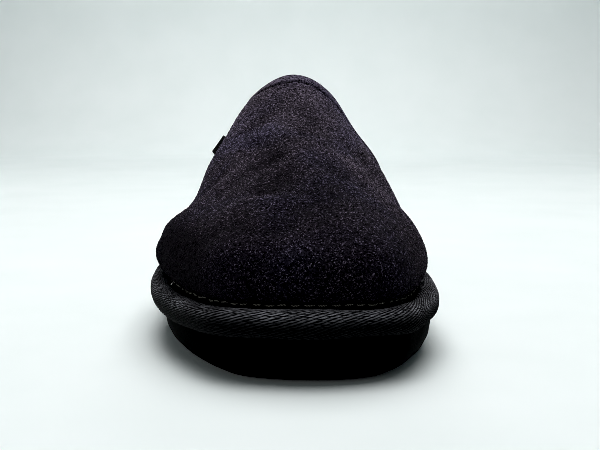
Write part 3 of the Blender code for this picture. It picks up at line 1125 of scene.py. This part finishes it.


# Folds of the vamp from the collar to the toe
CREASES = (
    Crease(Mark.TROUGH, 1.1, 5.0, ((-8, 115, 87), (-11, 109, 83), (-15, 106, 79))),
    Crease(Mark.TROUGH, 0.9, 5.0, ((0, 120, 91), (5, 113, 87), (10, 105, 82), (7, 92, 77))),
    Crease(Mark.RIDGE, 0.8, 5.0, ((-21, 98, 71), (-14, 99, 75), (-7, 99, 79), (-1, 91, 77))),
    Crease(Mark.TROUGH, 0.9, 5.0, ((-12, 94, 74), (-4, 87, 74), (-3, 75, 70))),
    Crease(Mark.TROUGH, 0.8, 4.5, ((-5, 77, 70), (-9, 73, 67), (-13, 72, 65))),
    Crease(Mark.TROUGH, 1.2, 6.0, ((1, 62, 66), (-3, 52, 62), (-8, 44, 59))),
    Crease(Mark.RIDGE, 1.2, 5.0, ((-17, 39, 55), (-12, 41, 57), (-3, 33, 57), (5, 35, 57))),
    Crease(Mark.TROUGH, 1.0, 6.0, ((8, 35, 57), (4, 21, 54), (-2, 14, 51))),
    Crease(Mark.RIDGE, 0.8, 5.0, ((-26, 73, 58), (-24, 75, 60), (-21, 77, 62))),
    Crease(Mark.TROUGH, 1.0, 5.0, ((-32, 82, 56), (-28, 81, 59), (-24, 85, 63))),
    Crease(Mark.TROUGH, 0.7, 4.5, ((-22, 65, 58), (-19, 65, 60))),
    Crease(Mark.RIDGE, 1.0, 4.5, ((19, 83, 69), (23, 83, 67), (28, 85, 64))),
    Crease(Mark.TROUGH, 0.9, 4.5, ((27, 102, 71), (31, 101, 67))),
    Crease(Mark.TROUGH, 1.0, 5.5, ((18, 70, 66), (23, 66, 63), (28, 64, 60))),
    Crease(Mark.TROUGH, 0.8, 6.0, ((-25, 25, 47), (-19, 25, 50), (-13, 20, 51))),
    Crease(Mark.RIDGE, 0.6, 5.0, ((0, 6, 47), (1, 2, 43))),
    Crease(Mark.TROUGH, 0.6, 5.0, ((-7, 3, 42), (-4, 3, 44))),
)


class LightPatch(NamedTuple):
    """A patch of painted light, or of painted shade where the amount is below zero, round a point (x, back,
    z) on the upper.
    """

    amount: float
    wide: float
    point: tuple[float, float, float]

    def rub(self, at: Array) -> Array:
        """How much paler the patch is: a bell curve of the distance to its middle."""
        return self.amount * bell(np.linalg.norm(at - np.array(self.point), axis=-1), self.wide)


# Patches of the vamp from the collar to the toe
# Painted light and shade: paler patches up the vamp and at the toe, darker patches low on both sides of the
# toe
LIGHT_PATCHES = (
    LightPatch(0.5, 14.0, (4, 124, 93)),
    LightPatch(0.35, 13.0, (-14, 103, 78)),
    LightPatch(0.15, 12.0, (12, 102, 80)),
    LightPatch(0.3, 10.0, (-17, 84, 66)),
    LightPatch(0.3, 10.0, (-13, 58, 61)),
    LightPatch(0.4, 13.0, (18, 80, 69)),
    LightPatch(0.3, 10.0, (-2, 66, 67)),
    LightPatch(-0.6, 15.0, (31, 42, 54)),
    LightPatch(0.6, 11.0, (-3, 26, 54)),
    LightPatch(-0.4, 14.0, (-30, 26, 35)),
    LightPatch(0.4, 11.0, (2, 3, 42)),
    LightPatch(-0.3, 12.0, (33, 24, 34)),
)


@dataclass(frozen=True)
class Seam:
    """The sewn seam above the tape: its place along the flank's knots, its stitches and their puckers."""

    at: float = 1.24
    pitch: float = 4.4
    deep: float = 0.4
    wide: float = 0.9
    dent: float = 0.3
    pucker: float = 0.1
    pucker_run: float = 5.0
    pucker_below: float = 1.0
    pucker_rise: float = 2.0

    def relief(self, above: Array, line: Array, along: Array) -> Array:
        """Height of the sewn sheet: a bell-shaped groove along the seam, dented and puckered by stitches.

        The dents and the puckers are a cosine along the seam, and the puckers die away above it.

        Args:
            above: Heights of the sheet's points over the tape.
            line: Height of the seam over the tape at each row.
            along: How far along the seam each row stands.

        Returns:
            A height in millimetres for each point, below zero in the groove.
        """
        stitch = np.cos(2 * math.pi * along / self.pitch)
        groove = self.deep * bell(above - line, self.wide) * (1 + self.dent * stitch)
        fade = np.exp(-np.clip(above - line, 0, None) / self.pucker_run)
        fade = fade * ease((above + self.pucker_below) / self.pucker_rise)
        return -groove - self.pucker * stitch * fade


@dataclass(frozen=True)
class Hem:
    """The collar's hem: its raised band, its topstitch's groove, the rolled edge and the flap inside."""

    zone: float = 9.0
    ribs: int = 30
    wide: float = 3.8
    lift: float = 0.5
    lip: float = 0.4
    fade: float = 0.8
    foot_rise: float = 4.0
    stitch_off: float = 0.3
    stitch_pitch: float = 4.4
    groove: float = 0.55
    groove_wide: float = 0.6
    roll: float = 1.3
    roll_steps: int = 9
    stride: int = 3
    flap: float = 5.0

    @property
    def stitch_line(self) -> float:
        """How far from the collar's edge the topstitch runs."""
        return self.wide + self.stitch_off

    def relief(self, above: Array, from_collar: Array) -> Array:
        """Height of the hem: a band with an eased edge, less a bell-shaped groove under the topstitch.

        Args:
            above: Heights of the sheet's points over the tape, where the hem runs out.
            from_collar: How far each point lies from the collar's edge.

        Returns:
            A height in millimetres for each point.
        """
        band = self.lift * ease((self.wide + self.lip - from_collar) / self.fade)
        groove = self.groove * bell(from_collar - self.stitch_line, self.groove_wide)
        return (band - groove) * ease(above / self.foot_rise)

    def turned_in(self, rows: Array, normals: Array) -> Array:
        """Rolls the collar's edge over and turns it in: a half circle, then a flap back along the inside.

        Args:
            rows: The sheet's rows from toe to collar.
            normals: Their normals.

        Returns:
            The rows with those of the roll and the flap added.
        """
        edge, up = rows[-1], normals[-1]
        ahead = unit(edge - rows[-self.stride])
        angle = np.linspace(0, math.pi, self.roll_steps)[1:, None, None]
        roll = edge + self.roll * (np.sin(angle) * ahead - (1 - np.cos(angle)) * up)
        count = int(self.flap / self.zone * self.ribs)
        inside = (rows - 2 * self.roll * normals)[-self.stride:-count:-self.stride]
        return np.concatenate([rows, roll, inside])


@dataclass(frozen=True)
class LightPainting:
    """Painted light and shade on the suede's colour: what makes it paler or darker, and where on the upper,
    in millimetres.
    """

    sheet: float = 0.34
    # Painted light from above: paler with height, by a power of the height's share
    low_z: float = 16.0
    high_z: float = 110.0
    power: float = 1.45
    # Painted light from the +x side
    lean: float = 0.005
    # Painted shade in the troughs of the folds and painted highlight on their ridges
    fold: float = 0.55
    # Painted highlight on the flanks
    flank: float = 0.9
    flank_x: float = 3.0
    flank_half: float = 12.0
    flank_run: float = 16.0
    flank_z: float = 42.0
    flank_tall: float = 15.0
    # Painted shade low on the outer side
    dull: float = 0.86
    dull_x: float = 24.0
    dull_run: float = 15.0
    dull_z: float = 54.0
    dull_tall: float = 12.0
    # Painted shade in a belt round the vamp
    belt: float = 0.42
    belt_z: float = 60.0
    belt_tall: float = 14.0
    limits: tuple[float, float] = (0.15, 3.0)
    # Painted highlight on the hem
    hem: float = 1.3

    def share(self, points: Array, from_collar: Array, hem: Hem) -> Array:
        """How pale the suede is painted: a power of the height's share, as painted light from above, times
        painted light and shade.

        It is painted paler on the hem, the folds' ridges, the flanks and towards +x, as painted highlight,
        and painted darker low on the outer side, in a belt round the vamp and in the folds' troughs, as
        painted shade.

        Args:
            points: Points of the sheet.
            from_collar: How far each lies from the collar's edge.
            hem: The collar's hem.

        Returns:
            A share for each point, above one where it is painted palest.
        """
        x, z = points[..., 0], points[..., 2]
        # Painted light from above: higher points are paler
        climb = np.clip((z - self.low_z) / (self.high_z - self.low_z), 0, 1)
        folds = sum(crease.relief(points) for crease in CREASES)
        flank = ease((np.abs(x - self.flank_x) - self.flank_half) / self.flank_run)
        flank = flank * ease((z - self.flank_z) / self.flank_tall)
        dull = ease((-x - self.dull_x) / self.dull_run) * ease((self.dull_z - z) / self.dull_tall)
        # Painted light and shade of the folds, the +x side, the flanks and the low outer side
        rubbed = 1 + self.fold * folds + self.lean * x + self.flank * flank - self.dull * dull
        rubbed = np.clip(rubbed + sum(patch.rub(points) for patch in LIGHT_PATCHES), *self.limits)
        rubbed = rubbed * (1 - self.belt * bell(z - self.belt_z, self.belt_tall))
        # Painted highlight on the hem
        return climb**self.power * rubbed * (1 + self.hem * ease((hem.wide - from_collar) / hem.fade))


@dataclass
class Upper:
    """Suede upper: one sheet drawn over the last, creased, sewn in behind the tape and hemmed."""

    sheet_thick: float = 0.9
    ribs: int = 112
    flank_steps: tuple[int, ...] = (4, 14, 18, 18, 18, 18)
    slack: float = 0.35
    slack_size: float = 34.0
    slack_rise: float = 12.0
    ridge_blend: int = 3
    seam: Seam = Seam()
    hem: Hem = Hem()
    brushing: LightPainting = LightPainting()
    skin: Array = field(init=False)
    normals: Array = field(init=False)
    from_collar: Array = field(init=False)

    def columns(self) -> Array:
        """Places along the flank's knots: even steps in each stretch."""
        stretches = [n + np.arange(steps) / steps for n, steps in enumerate(self.flank_steps)]
        return np.append(np.concatenate(stretches), len(self.flank_steps))

    def seam_column(self) -> int:
        """The column of the grid that lies nearest to the seam."""
        return int(np.argmin(np.abs(self.columns() - self.seam.at)))

    def feet(self) -> Array:
        """Where the ribs stand: even turns round the toe, then close ones for the hem.

        Returns:
            Distances behind the tip.
        """
        end = LAST.collar_foot - self.hem.roll
        start = end - self.hem.zone
        turns = np.linspace(0, LAST.turn_at(start), self.ribs, endpoint=False)
        return np.append(LAST.sole_length / 2 * (1 - np.cos(turns)), np.linspace(start, end, self.hem.ribs))

    def build(self) -> None:
        """Makes the sheet from collar to toe to collar, and dresses it."""
        feet, at = self.feet(), self.columns()
        outer, inner = (LAST.flank(feet, side, at) for side in (Side.OUTER, Side.INNER))
        flat = np.concatenate([outer[::-1], inner[1:]])
        walked = run_along(flat)
        self.from_collar = np.minimum(walked, walked[-1] - walked)
        normals = self.ridge_matched(grid_normals(flat))
        self.skin = flat + self.relief(flat)[..., None] * normals
        self.normals = self.ridge_matched(grid_normals(self.skin))
        sheet = self.hem.turned_in(self.folded(self.skin), self.folded(self.normals))
        from_collar = np.full(sheet.shape[:2], self.from_collar.min())
        from_collar[:len(feet)] = self.folded(self.from_collar)
        # The sheet's colour carries painted light and shade
        tone = self.brushing.sheet * self.brushed(sheet, from_collar)
        piece = new_piece("suede_upper", sheet, grid_quads(*sheet.shape[:2]), closed=False, brushed=tone)
        wall = piece.modifiers.new("sheet", "SOLIDIFY")
        wall.thickness = self.sheet_thick * MM
        wall.offset = -1
        dress(piece, Suede(), "upper", "upper")

    def brushed(self, points: Array, from_collar: Array) -> Array:
        """Share of painted light and shade at points of the sheet that lie so far from the collar's edge."""
        return self.brushing.share(points, from_collar, self.hem)

    def ridge_matched(self, normals: Array) -> Array:
        """Normals with those of the two sides made one where they meet on the ridge.

        The ribs crowd there at the toe, so the normals come from a few columns down each side.

        Args:
            normals: Normals of the grid from collar round the toe to collar, which are changed.

        Returns:
            The same normals.
        """
        blend = self.ridge_blend
        normals[:, -1] = unit(normals[:, -1 - blend] + normals[::-1, -1 - blend])
        normals[:, -blend:-1] = unit(normals[:, -1:] + normals[:, -1 - blend:-blend])
        return normals

    def folded(self, grid: Array) -> Array:
        """A grid from collar round the toe to collar, as rows over the ridge from outer to inner sole."""
        half = len(grid) // 2
        return np.concatenate([grid[half::-1], grid[half:, -2::-1]], axis=1)

    def relief(self, flat: Array) -> Array:
        """Height of the sheet over the last: folds, slack, the sewn seam with its puckers, and the hem.

        Args:
            flat: Grid of points on the last.

        Returns:
            A height in millimetres for each point.
        """
        above = flat[..., 2] - (LAST.sole_top(flat[:, :1, 1]) + GAP + LAST.binding_tall)
        folds = sum(crease.relief(flat) for crease in CREASES)
        slack = self.slack * lumps(flat, self.slack_size, Seed.SLACK) * ease(above / self.slack_rise)
        column = self.seam_column()
        seam = self.seam.relief(above, above[:, column, None], run_along(flat[:, column])[:, None])
        return folds + slack + seam + self.hem.relief(above, self.from_collar)


@dataclass
class Nap:
    """Nap of the suede: short tufts that lie on the sheet, drawn thicker than life so that they show."""

    upper: Upper
    tufts: int = 32500
    long: tuple[float, float] = (0.6, 1.2)
    thick: tuple[float, float] = (0.26, 0.4)
    sunk: float = 0.18
    rise: tuple[float, float] = (0.0, 0.3)
    tone: tuple[float, float] = (0.0, 5.4)
    tone_power: float = 1.8
    comb: tuple[float, float, float] = (0.5, 1.0, 1.0)
    first_column: int = 9
    hem_clear: float = 0.7

    def build(self) -> None:
        """Makes the nap of the outer and of the inner side and dresses it."""
        half = len(self.upper.skin) // 2
        for side, rows in ((Side.OUTER, slice(0, half + 1)), (Side.INNER, slice(half, None))):
            self.spread(side, rows)

    def spread(self, side: Side, rows: slice) -> None:
        """Strews tufts evenly over one side: cells are drawn by their area, and a place in each by chance.

        Args:
            side: The side of the foot.
            rows: Rows of the upper's grid on that side.
        """
        rng = np.random.default_rng(Seed.NAP + side.value)
        skin, ups = (grid[rows, self.first_column:] for grid in (self.upper.skin, self.upper.normals))
        gap = self.upper.from_collar[rows, self.first_column:]
        corner = skin[:-1, :-1]
        area = np.linalg.norm(np.cross(skin[1:, :-1] - corner, skin[:-1, 1:] - corner), axis=-1)
        area = area * (gap[1:, :-1] > self.upper.hem.wide + self.hem_clear)
        pick = np.searchsorted(np.cumsum(area), rng.uniform(0, area.sum(), self.tufts))
        r, c = np.unravel_index(np.minimum(pick, area.size - 1), area.shape)
        u, v = rng.uniform(0, 1, (2, self.tufts, 1))

        def read(grid: Array) -> Array:
            """Values of a grid at the tufts' places, mixed from the corners of their cells."""
            near = grid[r, c] * (1 - v) + grid[r, c + 1] * v
            return near * (1 - u) + (grid[r + 1, c] * (1 - v) + grid[r + 1, c + 1] * v) * u

        up = unit(read(ups))
        lying = unit(np.cross(up, rng.normal(size=up.shape) * self.comb))
        way = unit(lying + rng.uniform(*self.rise, (self.tufts, 1)) * up)
        root = read(skin) - self.sunk * up
        points, faces = self.darts(root, way, rng)
        low, high = self.tone
        tone = low + (high - low) * rng.uniform(0, 1, self.tufts) ** self.tone_power
        # Each tuft's random tone, times painted light and shade
        tone = tone * self.upper.brushed(read(skin), read(gap[..., None])[:, 0])
        name = f"suede_nap_{side.name.lower()}"
        piece = new_piece(name, points, faces, closed=False, brushed=np.repeat(tone, points.shape[1]))
        dress(piece, Suede(), "upper")

    def darts(self, root: Array, way: Array, rng: np.random.Generator) -> tuple[Array, Array]:
        """Closed three-sided tufts: a root, a ring of three a third of the way along and a tip.

        Args:
            root: Where each tuft starts.
            way: Where it points.
            rng: Source of the lengths and widths.

        Returns:
            The points, five to a tuft, and the triangles between them.
        """
        count = len(root)
        long, thick = (rng.uniform(*span, (count, 1, 1)) for span in (self.long, self.thick))
        across = unit(np.cross(way, rng.normal(size=way.shape)))
        angle = np.arange(3)[:, None] * 2 * math.pi / 3
        ring = np.cos(angle) * across[:, None] + np.sin(angle) * np.cross(way, across)[:, None]
        root, way = root[:, None], way[:, None]
        points = np.concatenate([root, root + way * long / 3 + ring * thick, root + way * long], axis=1)
        faces = np.array([[0, 2, 1], [0, 3, 2], [0, 1, 3], [4, 1, 2], [4, 2, 3], [4, 3, 1]])
        return points, (faces + 5 * np.arange(count)[:, None, None]).reshape(-1, 3)


class Run(NamedTuple):
    """How stitches follow each other: their pitch, the share of it that shows and how far they sag."""

    pitch: float
    share: float
    sag: float


@dataclass
class Stitching:
    """Thread: a lock stitch above the tape, whose slack loops sag, and a topstitch along the hem."""

    upper: Upper
    thick: float = 0.3
    places: int = 9
    sides: int = 7
    seam_share: float = 0.9
    seam_sag: float = 0.45
    hem_share: float = 0.68
    hem_clear: int = 12
    jitter: float = 0.1
    stretch: tuple[float, float] = (0.75, 1.15)
    sag_spread: tuple[float, float] = (-0.3, 1.2)
    arch: float = 1.3
    sunk: float = 0.5
    blunt: float = 0.3
    seam_thread: Thread = Thread()
    hem_thread: Thread = Thread("black_bonded_thread", "#060606", "#161516")

    def build(self) -> None:
        """Makes both rows of stitches and dresses them."""
        upper = self.upper
        seam = upper.seam_column()
        run = Run(upper.seam.pitch, self.seam_share, self.seam_sag)
        self.row("seam_stitches", upper.skin[:, seam], upper.normals[:, seam], run, self.seam_thread)
        skin, normals = upper.folded(upper.skin), upper.folded(upper.normals)
        gap = upper.folded(upper.from_collar[..., None])[..., 0]
        line = np.argmin(np.abs(gap - upper.hem.stitch_line), axis=0)[None, :, None]
        path = np.take_along_axis(skin, line, axis=0)[0]
        ups = np.take_along_axis(normals, line, axis=0)[0]
        clear = slice(self.hem_clear, -self.hem_clear)
        run = Run(upper.hem.stitch_pitch, self.hem_share, 0.0)
        self.row("hem_stitches", path[clear], ups[clear], run, self.hem_thread)

    def row(self, name: str, path: Array, ups: Array, run: Run, finish: Thread) -> None:
        """Makes a row of stitches: each follows the path for a share of its pitch, arched up by a sine.

        Args:
            name: Name of the piece.
            path: Points of the seam.
            ups: The suede's normals there.
            run: How the stitches follow each other.
            finish: The thread.
        """
        rng = np.random.default_rng(Seed.STITCHES)
        walked = run_along(path)
        count = int(walked[-1] / run.pitch)
        off = rng.uniform(-self.jitter, self.jitter, count)
        starts = (np.arange(count) + 0.5 * (1 - run.share) + off) * run.pitch
        t = np.linspace(0, 1, self.places)
        at = starts[:, None] + t * run.pitch * run.share * rng.uniform(*self.stretch, (count, 1))
        centre = np.stack([np.interp(at, walked, path[:, n]) for n in range(3)], axis=-1)
        up = unit(np.stack([np.interp(at, walked, ups[:, n]) for n in range(3)], axis=-1))
        arch = np.sin(math.pi * t)[:, None]
        drop = run.sag * rng.uniform(*self.sag_spread, (count, 1, 1)) * arch * DOWN
        lines = centre + up * (self.thick * (self.arch * arch - self.sunk)) + drop
        radii = self.thick * np.clip(np.sin(math.pi * t), 0, 1) ** self.blunt
        points, faces = spindles(lines, up, radii, self.sides)
        dress(new_piece(name, points, faces), finish, "upper")


@dataclass(frozen=True)
class Lock:
    """A lock of wool and how it bends.

    Its length, its thickness, its scatter and how far it is sunk are in millimetres. The bend and the turn
    of its curl are in radians, and the rest are shares.
    """

    long: float = 4.2
    long_spread: tuple[float, float] = (0.6, 1.25)
    thick: float = 0.55
    taper: tuple[float, ...] = (0.0, 1.0, 0.95, 0.7, 0.0)
    sides: int = 3
    sway: float = 0.15
    scatter: float = 0.6
    sunk: float = 0.8
    rise: float = 0.62
    bend: float = 2.2
    lean: float = 0.5
    curl: float = 0.22
    curl_turn: float = 5.0


@dataclass
class Fleece:
    """Wool: the pile that lines the upper, the footbed's pile and the locks that stand up from both."""

    upper: Upper
    pile: float = 3.2
    wall: float = 1.5
    tuft: float = 0.6
    tuft_size: float = 9.0
    footbed_thick: float = 9.0
    footbed_cup: float = 1.5
    footbed_corners: tuple[float, float] = (1.5, 1.5)
    footbed_room: float = 0.5
    step_run: float = 3.5
    upper_wall: float = 3.0
    stations: int = 200
    steps: SlabSteps = SlabSteps(6, 3, 10, 90)
    tuft_margin: float = 0.3
    lining_edge: int = 4
    lining_stride: int = 2
    lining_locks: int = 4500
    lining_lock_rows: tuple[int, int] = (-40, -6)
    lining_lock_columns: tuple[int, int] = (10, -10)
    footbed_locks: int = 8000
    footbed_lock_start: float = 0.25
    lock: Lock = Lock()

    def build(self) -> None:
        """Makes the lining, the footbed and their locks."""
        self.lining()
        self.footbed()

    def lining(self) -> None:
        """Pile inside the upper: its sheet set in by the pile, with soft tufts."""
        thin = slice(None, -self.lining_edge, self.lining_stride), slice(None, None, self.lining_stride)
        rows = self.upper.folded(self.upper.skin - self.pile * self.upper.normals)[thin]
        ups = -self.upper.folded(self.upper.normals)[thin]
        rows = rows + (self.tuft * lumps(rows, self.tuft_size, Seed.LINING))[..., None] * ups
        piece = new_piece("wool_lining", rows, grid_quads(*rows.shape[:2])[:, ::-1], closed=False)
        wall = piece.modifiers.new("pile", "SOLIDIFY")
        wall.thickness = self.wall * MM
        wall.offset = -1
        dress(piece, Wool(), "insole")
        shown = slice(*self.lining_lock_rows), slice(*self.lining_lock_columns)
        self.locks("lining_locks", rows[shown], ups[shown], self.lining_locks, Seed.LINING_LOCKS)

    def inset(self, back: Array) -> Array:
        """Room left at the footbed's edge: for binding and upper in front, eased to the binding's behind.

        Args:
            back: Distances behind the tip.

        Returns:
            How far inside the sole's side the footbed ends at each.
        """
        front = LAST.upper_inset + self.upper_wall + self.footbed_room
        rear = LAST.binding_in + self.footbed_room
        return front + (rear - front) * ease((back - LAST.collar_foot - self.footbed_room) / self.step_run)

    def footbed_under(self, back: Array) -> Array:
        """Height of the footbed's underside, on the outsole."""
        return LAST.sole_top(back) + GAP

    def footbed_top(self, back: Array) -> Array:
        """Height of the footbed's top before it is hollowed and tufted."""
        return LAST.sole_top(back) + self.footbed_thick

    def footbed(self) -> None:
        """Padded footbed: a slab in the binding's ring, tufted, and hollowed by a cosine across the foot."""
        turns = np.linspace(0, math.pi, self.stations + 1)
        levels = self.footbed_under, self.footbed_top
        outs = -self.inset(LAST.sole_length / 2 * (1 - np.cos(turns)))
        slab = LAST.slab(turns, dict.fromkeys(Side, outs), levels, self.footbed_corners, self.steps)
        points = slab.points
        top = points[:, slab.over]
        inside = np.cos(slab.share[slab.over] * math.pi / 2) * np.sin(turns)[:, None]
        tufts = self.tuft * lumps(top, self.tuft_size, Seed.FOOTBED) * ease(inside / self.tuft_margin)
        top[..., 2] += tufts - self.footbed_cup * inside
        piece = new_piece("wool_footbed", points, grid_quads(*points.shape[:2], round_cols=True))
        dress(piece, Wool(), "insole", "insole")
        first = int(self.stations * self.footbed_lock_start)
        ups = -grid_normals(top)[first:]
        ups = ups * np.sign(ups[..., 2:])
        self.locks("footbed_locks", top[first:], ups, self.footbed_locks, Seed.FOOTBED_LOCKS)

    def locks(self, name: str, pile: Array, normals: Array, count: int, seed: Seed) -> None:
        """Locks of wool: tapered strands that leave the pile, lean over and curl.

        Each lock's centre line rises by a sine, leans along a seeded direction and circles with a growing
        radius, and the strand is drawn to a point at both ends.

        Args:
            name: Name of the piece.
            pile: Grid of points that a lock may start from.
            normals: The pile's normals there.
            count: How many locks.
            seed: Seed of their places and bends.
        """
        rng = np.random.default_rng(seed)
        lock = self.lock
        roots, ups = pile.reshape(-1, 3), normals.reshape(-1, 3)
        pick = rng.integers(0, len(roots), count)
        up = unit(ups[pick] + rng.normal(scale=lock.sway, size=(count, 3)))
        lean = unit(np.cross(up, rng.normal(size=(count, 3))))
        side = np.cross(up, lean)
        long = lock.long * rng.uniform(*lock.long_spread, (count, 1, 1))
        radii = lock.thick * np.array(lock.taper)
        t = np.linspace(0, 1, len(radii))[:, None]
        angle = rng.uniform(0, 2 * math.pi, (count, 1, 1))
        angle = angle + rng.choice([-1, 1], (count, 1, 1)) * t * lock.curl_turn
        curl = lock.curl * long * t
        start = roots[pick] + rng.normal(scale=lock.scatter, size=(count, 3)) - up * lock.sunk
        lines = start[:, None] + up[:, None] * long * lock.rise * np.sin(t * lock.bend)
        lines = lines + lean[:, None] * (long * lock.lean * t + curl * np.cos(angle))
        lines = lines + side[:, None] * curl * np.sin(angle)
        points, faces = spindles(lines, up, radii, lock.sides)
        dress(new_piece(name, points, faces), Wool(), "insole")


@dataclass
class SideTag:
    """Plain ribbon tag: a strip folded in a hairpin, its ends sewn to the hem on the outer side."""

    height: float = 67.0
    wide: float = 9.0
    length: float = 6.5
    sewn_in: float = -0.1
    lap: float = 0.7
    flare: float = math.radians(37)
    gap: float = 0.9
    loop_gap: float = 1.5
    arc_steps: int = 14
    wide_steps: int = 12
    selvedge: float = 0.12
    selvedge_from: float = 0.8
    collar_knots: tuple[int, int] = (1, 6)
    collar_samples: int = 201
    collar_step: int = 3
    ahead_foot: float = 155.0

    def build(self) -> None:
        """Makes the tag on the collar's edge: the hairpin's outline carried across the ribbon."""
        at = np.linspace(*self.collar_knots, self.collar_samples)
        feet = LAST.collar_foot, self.ahead_foot
        collar, ahead = (LAST.flank(np.array([foot]), Side.OUTER, at)[0] for foot in feet)
        i = int(np.argmin(np.abs(collar[:, 2] - self.height)))
        along = unit(collar[i + self.collar_step] - collar[i - self.collar_step])
        back = collar[i] - ahead[i]
        back = unit(back - along * (back @ along))
        out = unit(np.cross(back, along))
        out = out * -np.sign(out[0])
        root = collar[i] - back * self.lap - out * self.sewn_in
        line = self.outline()
        share = np.linspace(-1, 1, self.wide_steps + 1)
        swell = 1 + self.selvedge * (np.abs(share) > self.selvedge_from)
        length, thick = line[:, 0, None], line[:, 1, None] * swell
        stands = back * math.cos(self.flare) + out * math.sin(self.flare)
        faces_out = out * math.cos(self.flare) - back * math.sin(self.flare)
        points = root + length[..., None] * stands + thick[..., None] * faces_out
        points = points + (share * self.wide / 2)[:, None] * along
        strip = grid_quads(*points.shape[:2], round_rows=True)
        faces = np.concatenate([strip, self.caps(*points.shape[:2])])
        weave = np.meshgrid(run_along(line), share * self.wide / 2, indexing="ij")
        uv = np.stack(weave, axis=-1).reshape(-1, 2)[faces]
        piece = new_piece("ribbon_side_tag", points, faces, uv.reshape(-1, 2))
        dress(piece, Ribbon(), "side_tag", "side_tag")

    def outline(self) -> Array:
        """The folded ribbon seen on edge: two sides that spread to a round loop.

        Returns:
            Points (length, thickness) from one end round the loop to the other.
        """
        root, loop = self.gap / 2, self.loop_gap / 2
        angle = np.linspace(-math.pi / 2, math.pi / 2, self.arc_steps)
        arc = np.stack([self.length - loop + loop * np.cos(angle), loop * np.sin(angle)], axis=-1)
        upper_side = np.array([[self.length / 2, (root + loop) / 2], [0, root]])
        return np.concatenate([upper_side[::-1] * [1, -1], arc, upper_side])

    def caps(self, count: int, cols: int) -> Array:
        """Quads that close the two open sides, each between two points of the outline and their mirrors.

        Args:
            count: Points of the outline.
            cols: Points across the ribbon.

        Returns:
            Four point numbers for each quad.
        """
        i = np.arange(count // 2 - 1)
        mirror = count - 1 - i
        near = np.stack([i, i + 1, mirror - 1, mirror], axis=-1) * cols
        return np.concatenate([near, near[:, ::-1] + cols - 1])


class Lamp(NamedTuple):
    """A soft rectangular light: where it hangs and what it faces, in metres, its size, watts and spread."""

    name: str
    at: tuple[float, float, float]
    aim: tuple[float, float, float]
    size: tuple[float, float]
    power: float
    spread: float = math.pi

    def hang(self) -> None:
        """Adds the light to the scene, turned to what it faces."""
        lamp = bpy.data.lights.new(self.name, "AREA")
        lamp.shape = "RECTANGLE"
        lamp.size, lamp.size_y = self.size
        lamp.energy = self.power
        lamp.spread = self.spread
        hung = bpy.data.objects.new(self.name, lamp)
        hung.location = self.at
        hung.rotation_euler = (Vector(self.aim) - Vector(self.at)).to_track_quat("-Z", "Y").to_euler()
        bpy.context.scene.collection.objects.link(hung)


# A wide lamp with a grid overhead, a small one that lights the top of the wall, and a window in front
LAMPS = (
    Lamp("overhead", (0.02, 0.06, 1.1), (0.0, 0.06, 0.0), (1.3, 0.9), 9.5, math.radians(140)),
    Lamp("backdrop_lamp", (0.0, 1.02, 0.69), (0.0, 1.29, 0.6), (0.5, 0.15), 3.3),
    Lamp("window", (-0.8, -1.3, 0.4), (0.0, -0.1, 0.03), (1.8, 0.6), 3.0),
)


@dataclass
class Studio:
    """Pale floor that sweeps up to a backdrop, the lamps and the camera.

    The floor's sizes are in millimetres, the camera's place and its nearest sight in metres.
    """

    camera_at: tuple[float, float, float] = (0.0038, -0.485, 0.0991)
    pitch_down: float = math.radians(7.57)
    lens: float = 65.88
    floor_wide: float = 16000.0
    floor_front: float = -8000.0
    sweep_back: float = 1091.0
    sweep_round: float = 200.0
    wall_tall: float = 3000.0
    black_level: float = 0.003
    pixel_filter: float = 0.7
    near_clip: float = 0.01
    sky: str = "#d2eaec"
    sky_strength: float = 0.1
    sweep_steps: int = 24
    floor_columns: int = 9

    def build(self) -> None:
        """Makes the backdrop, the lights and the camera."""
        scene = bpy.context.scene
        # The denoiser takes its guides as they are, which keeps the grain of the nap
        scene.cycles.denoising_prefilter = "NONE"
        scene.cycles.filter_width = self.pixel_filter
        view = scene.view_settings
        view.view_transform = "Standard"
        view.use_curve_mapping = True
        view.curve_mapping.black_level = (self.black_level,) * 3
        view.curve_mapping.update()
        self.backdrop()
        for lamp in LAMPS:
            lamp.hang()
        world = scene.world or bpy.data.worlds.new("studio")
        scene.world = world
        world.use_nodes = True
        sky = world.node_tree.nodes["Background"]
        sky.inputs["Color"].default_value = linear(self.sky)
        sky.inputs["Strength"].default_value = self.sky_strength
        lens = bpy.data.cameras.new("photo_view")
        lens.lens = self.lens
        lens.clip_start = self.near_clip
        camera = bpy.data.objects.new("photo_view", lens)
        camera.location = self.camera_at
        camera.rotation_euler = (math.pi / 2 - self.pitch_down, 0, 0)
        scene.collection.objects.link(camera)
        scene.camera = camera

    def backdrop(self) -> None:
        """Floor and wall in one sheet: straight, a quarter circle, straight, carried across the room."""
        angle = np.linspace(0, math.pi / 2, self.sweep_steps)
        quarter = np.stack([np.sin(angle), 1 - np.cos(angle)], axis=-1)
        curve = self.sweep_round * quarter + [self.sweep_back, 0]
        wall_top = [self.sweep_back + self.sweep_round, self.wall_tall]
        line = np.concatenate([[[self.floor_front, 0]], curve, [wall_top]])
        across = np.linspace(-0.5, 0.5, self.floor_columns) * self.floor_wide
        points = np.stack(np.broadcast_arrays(across, line[:, :1], line[:, 1:]), axis=-1)
        piece = new_piece("studio_floor", points, grid_quads(*points.shape[:2]), closed=False)
        piece.data.materials.append(StudioPaper().material())


def main() -> None:
    """Builds the sub-assemblies in order, from the sole up, and the studio."""
    logging.basicConfig(level=logging.INFO, format="%(name)s: %(message)s")
    Outsole().build()
    Binding().build()
    upper = Upper()
    upper.build()
    Nap(upper).build()
    Stitching(upper).build()
    Fleece(upper).build()
    SideTag().build()
    Studio().build()


if __name__ == "__main__":
    main()
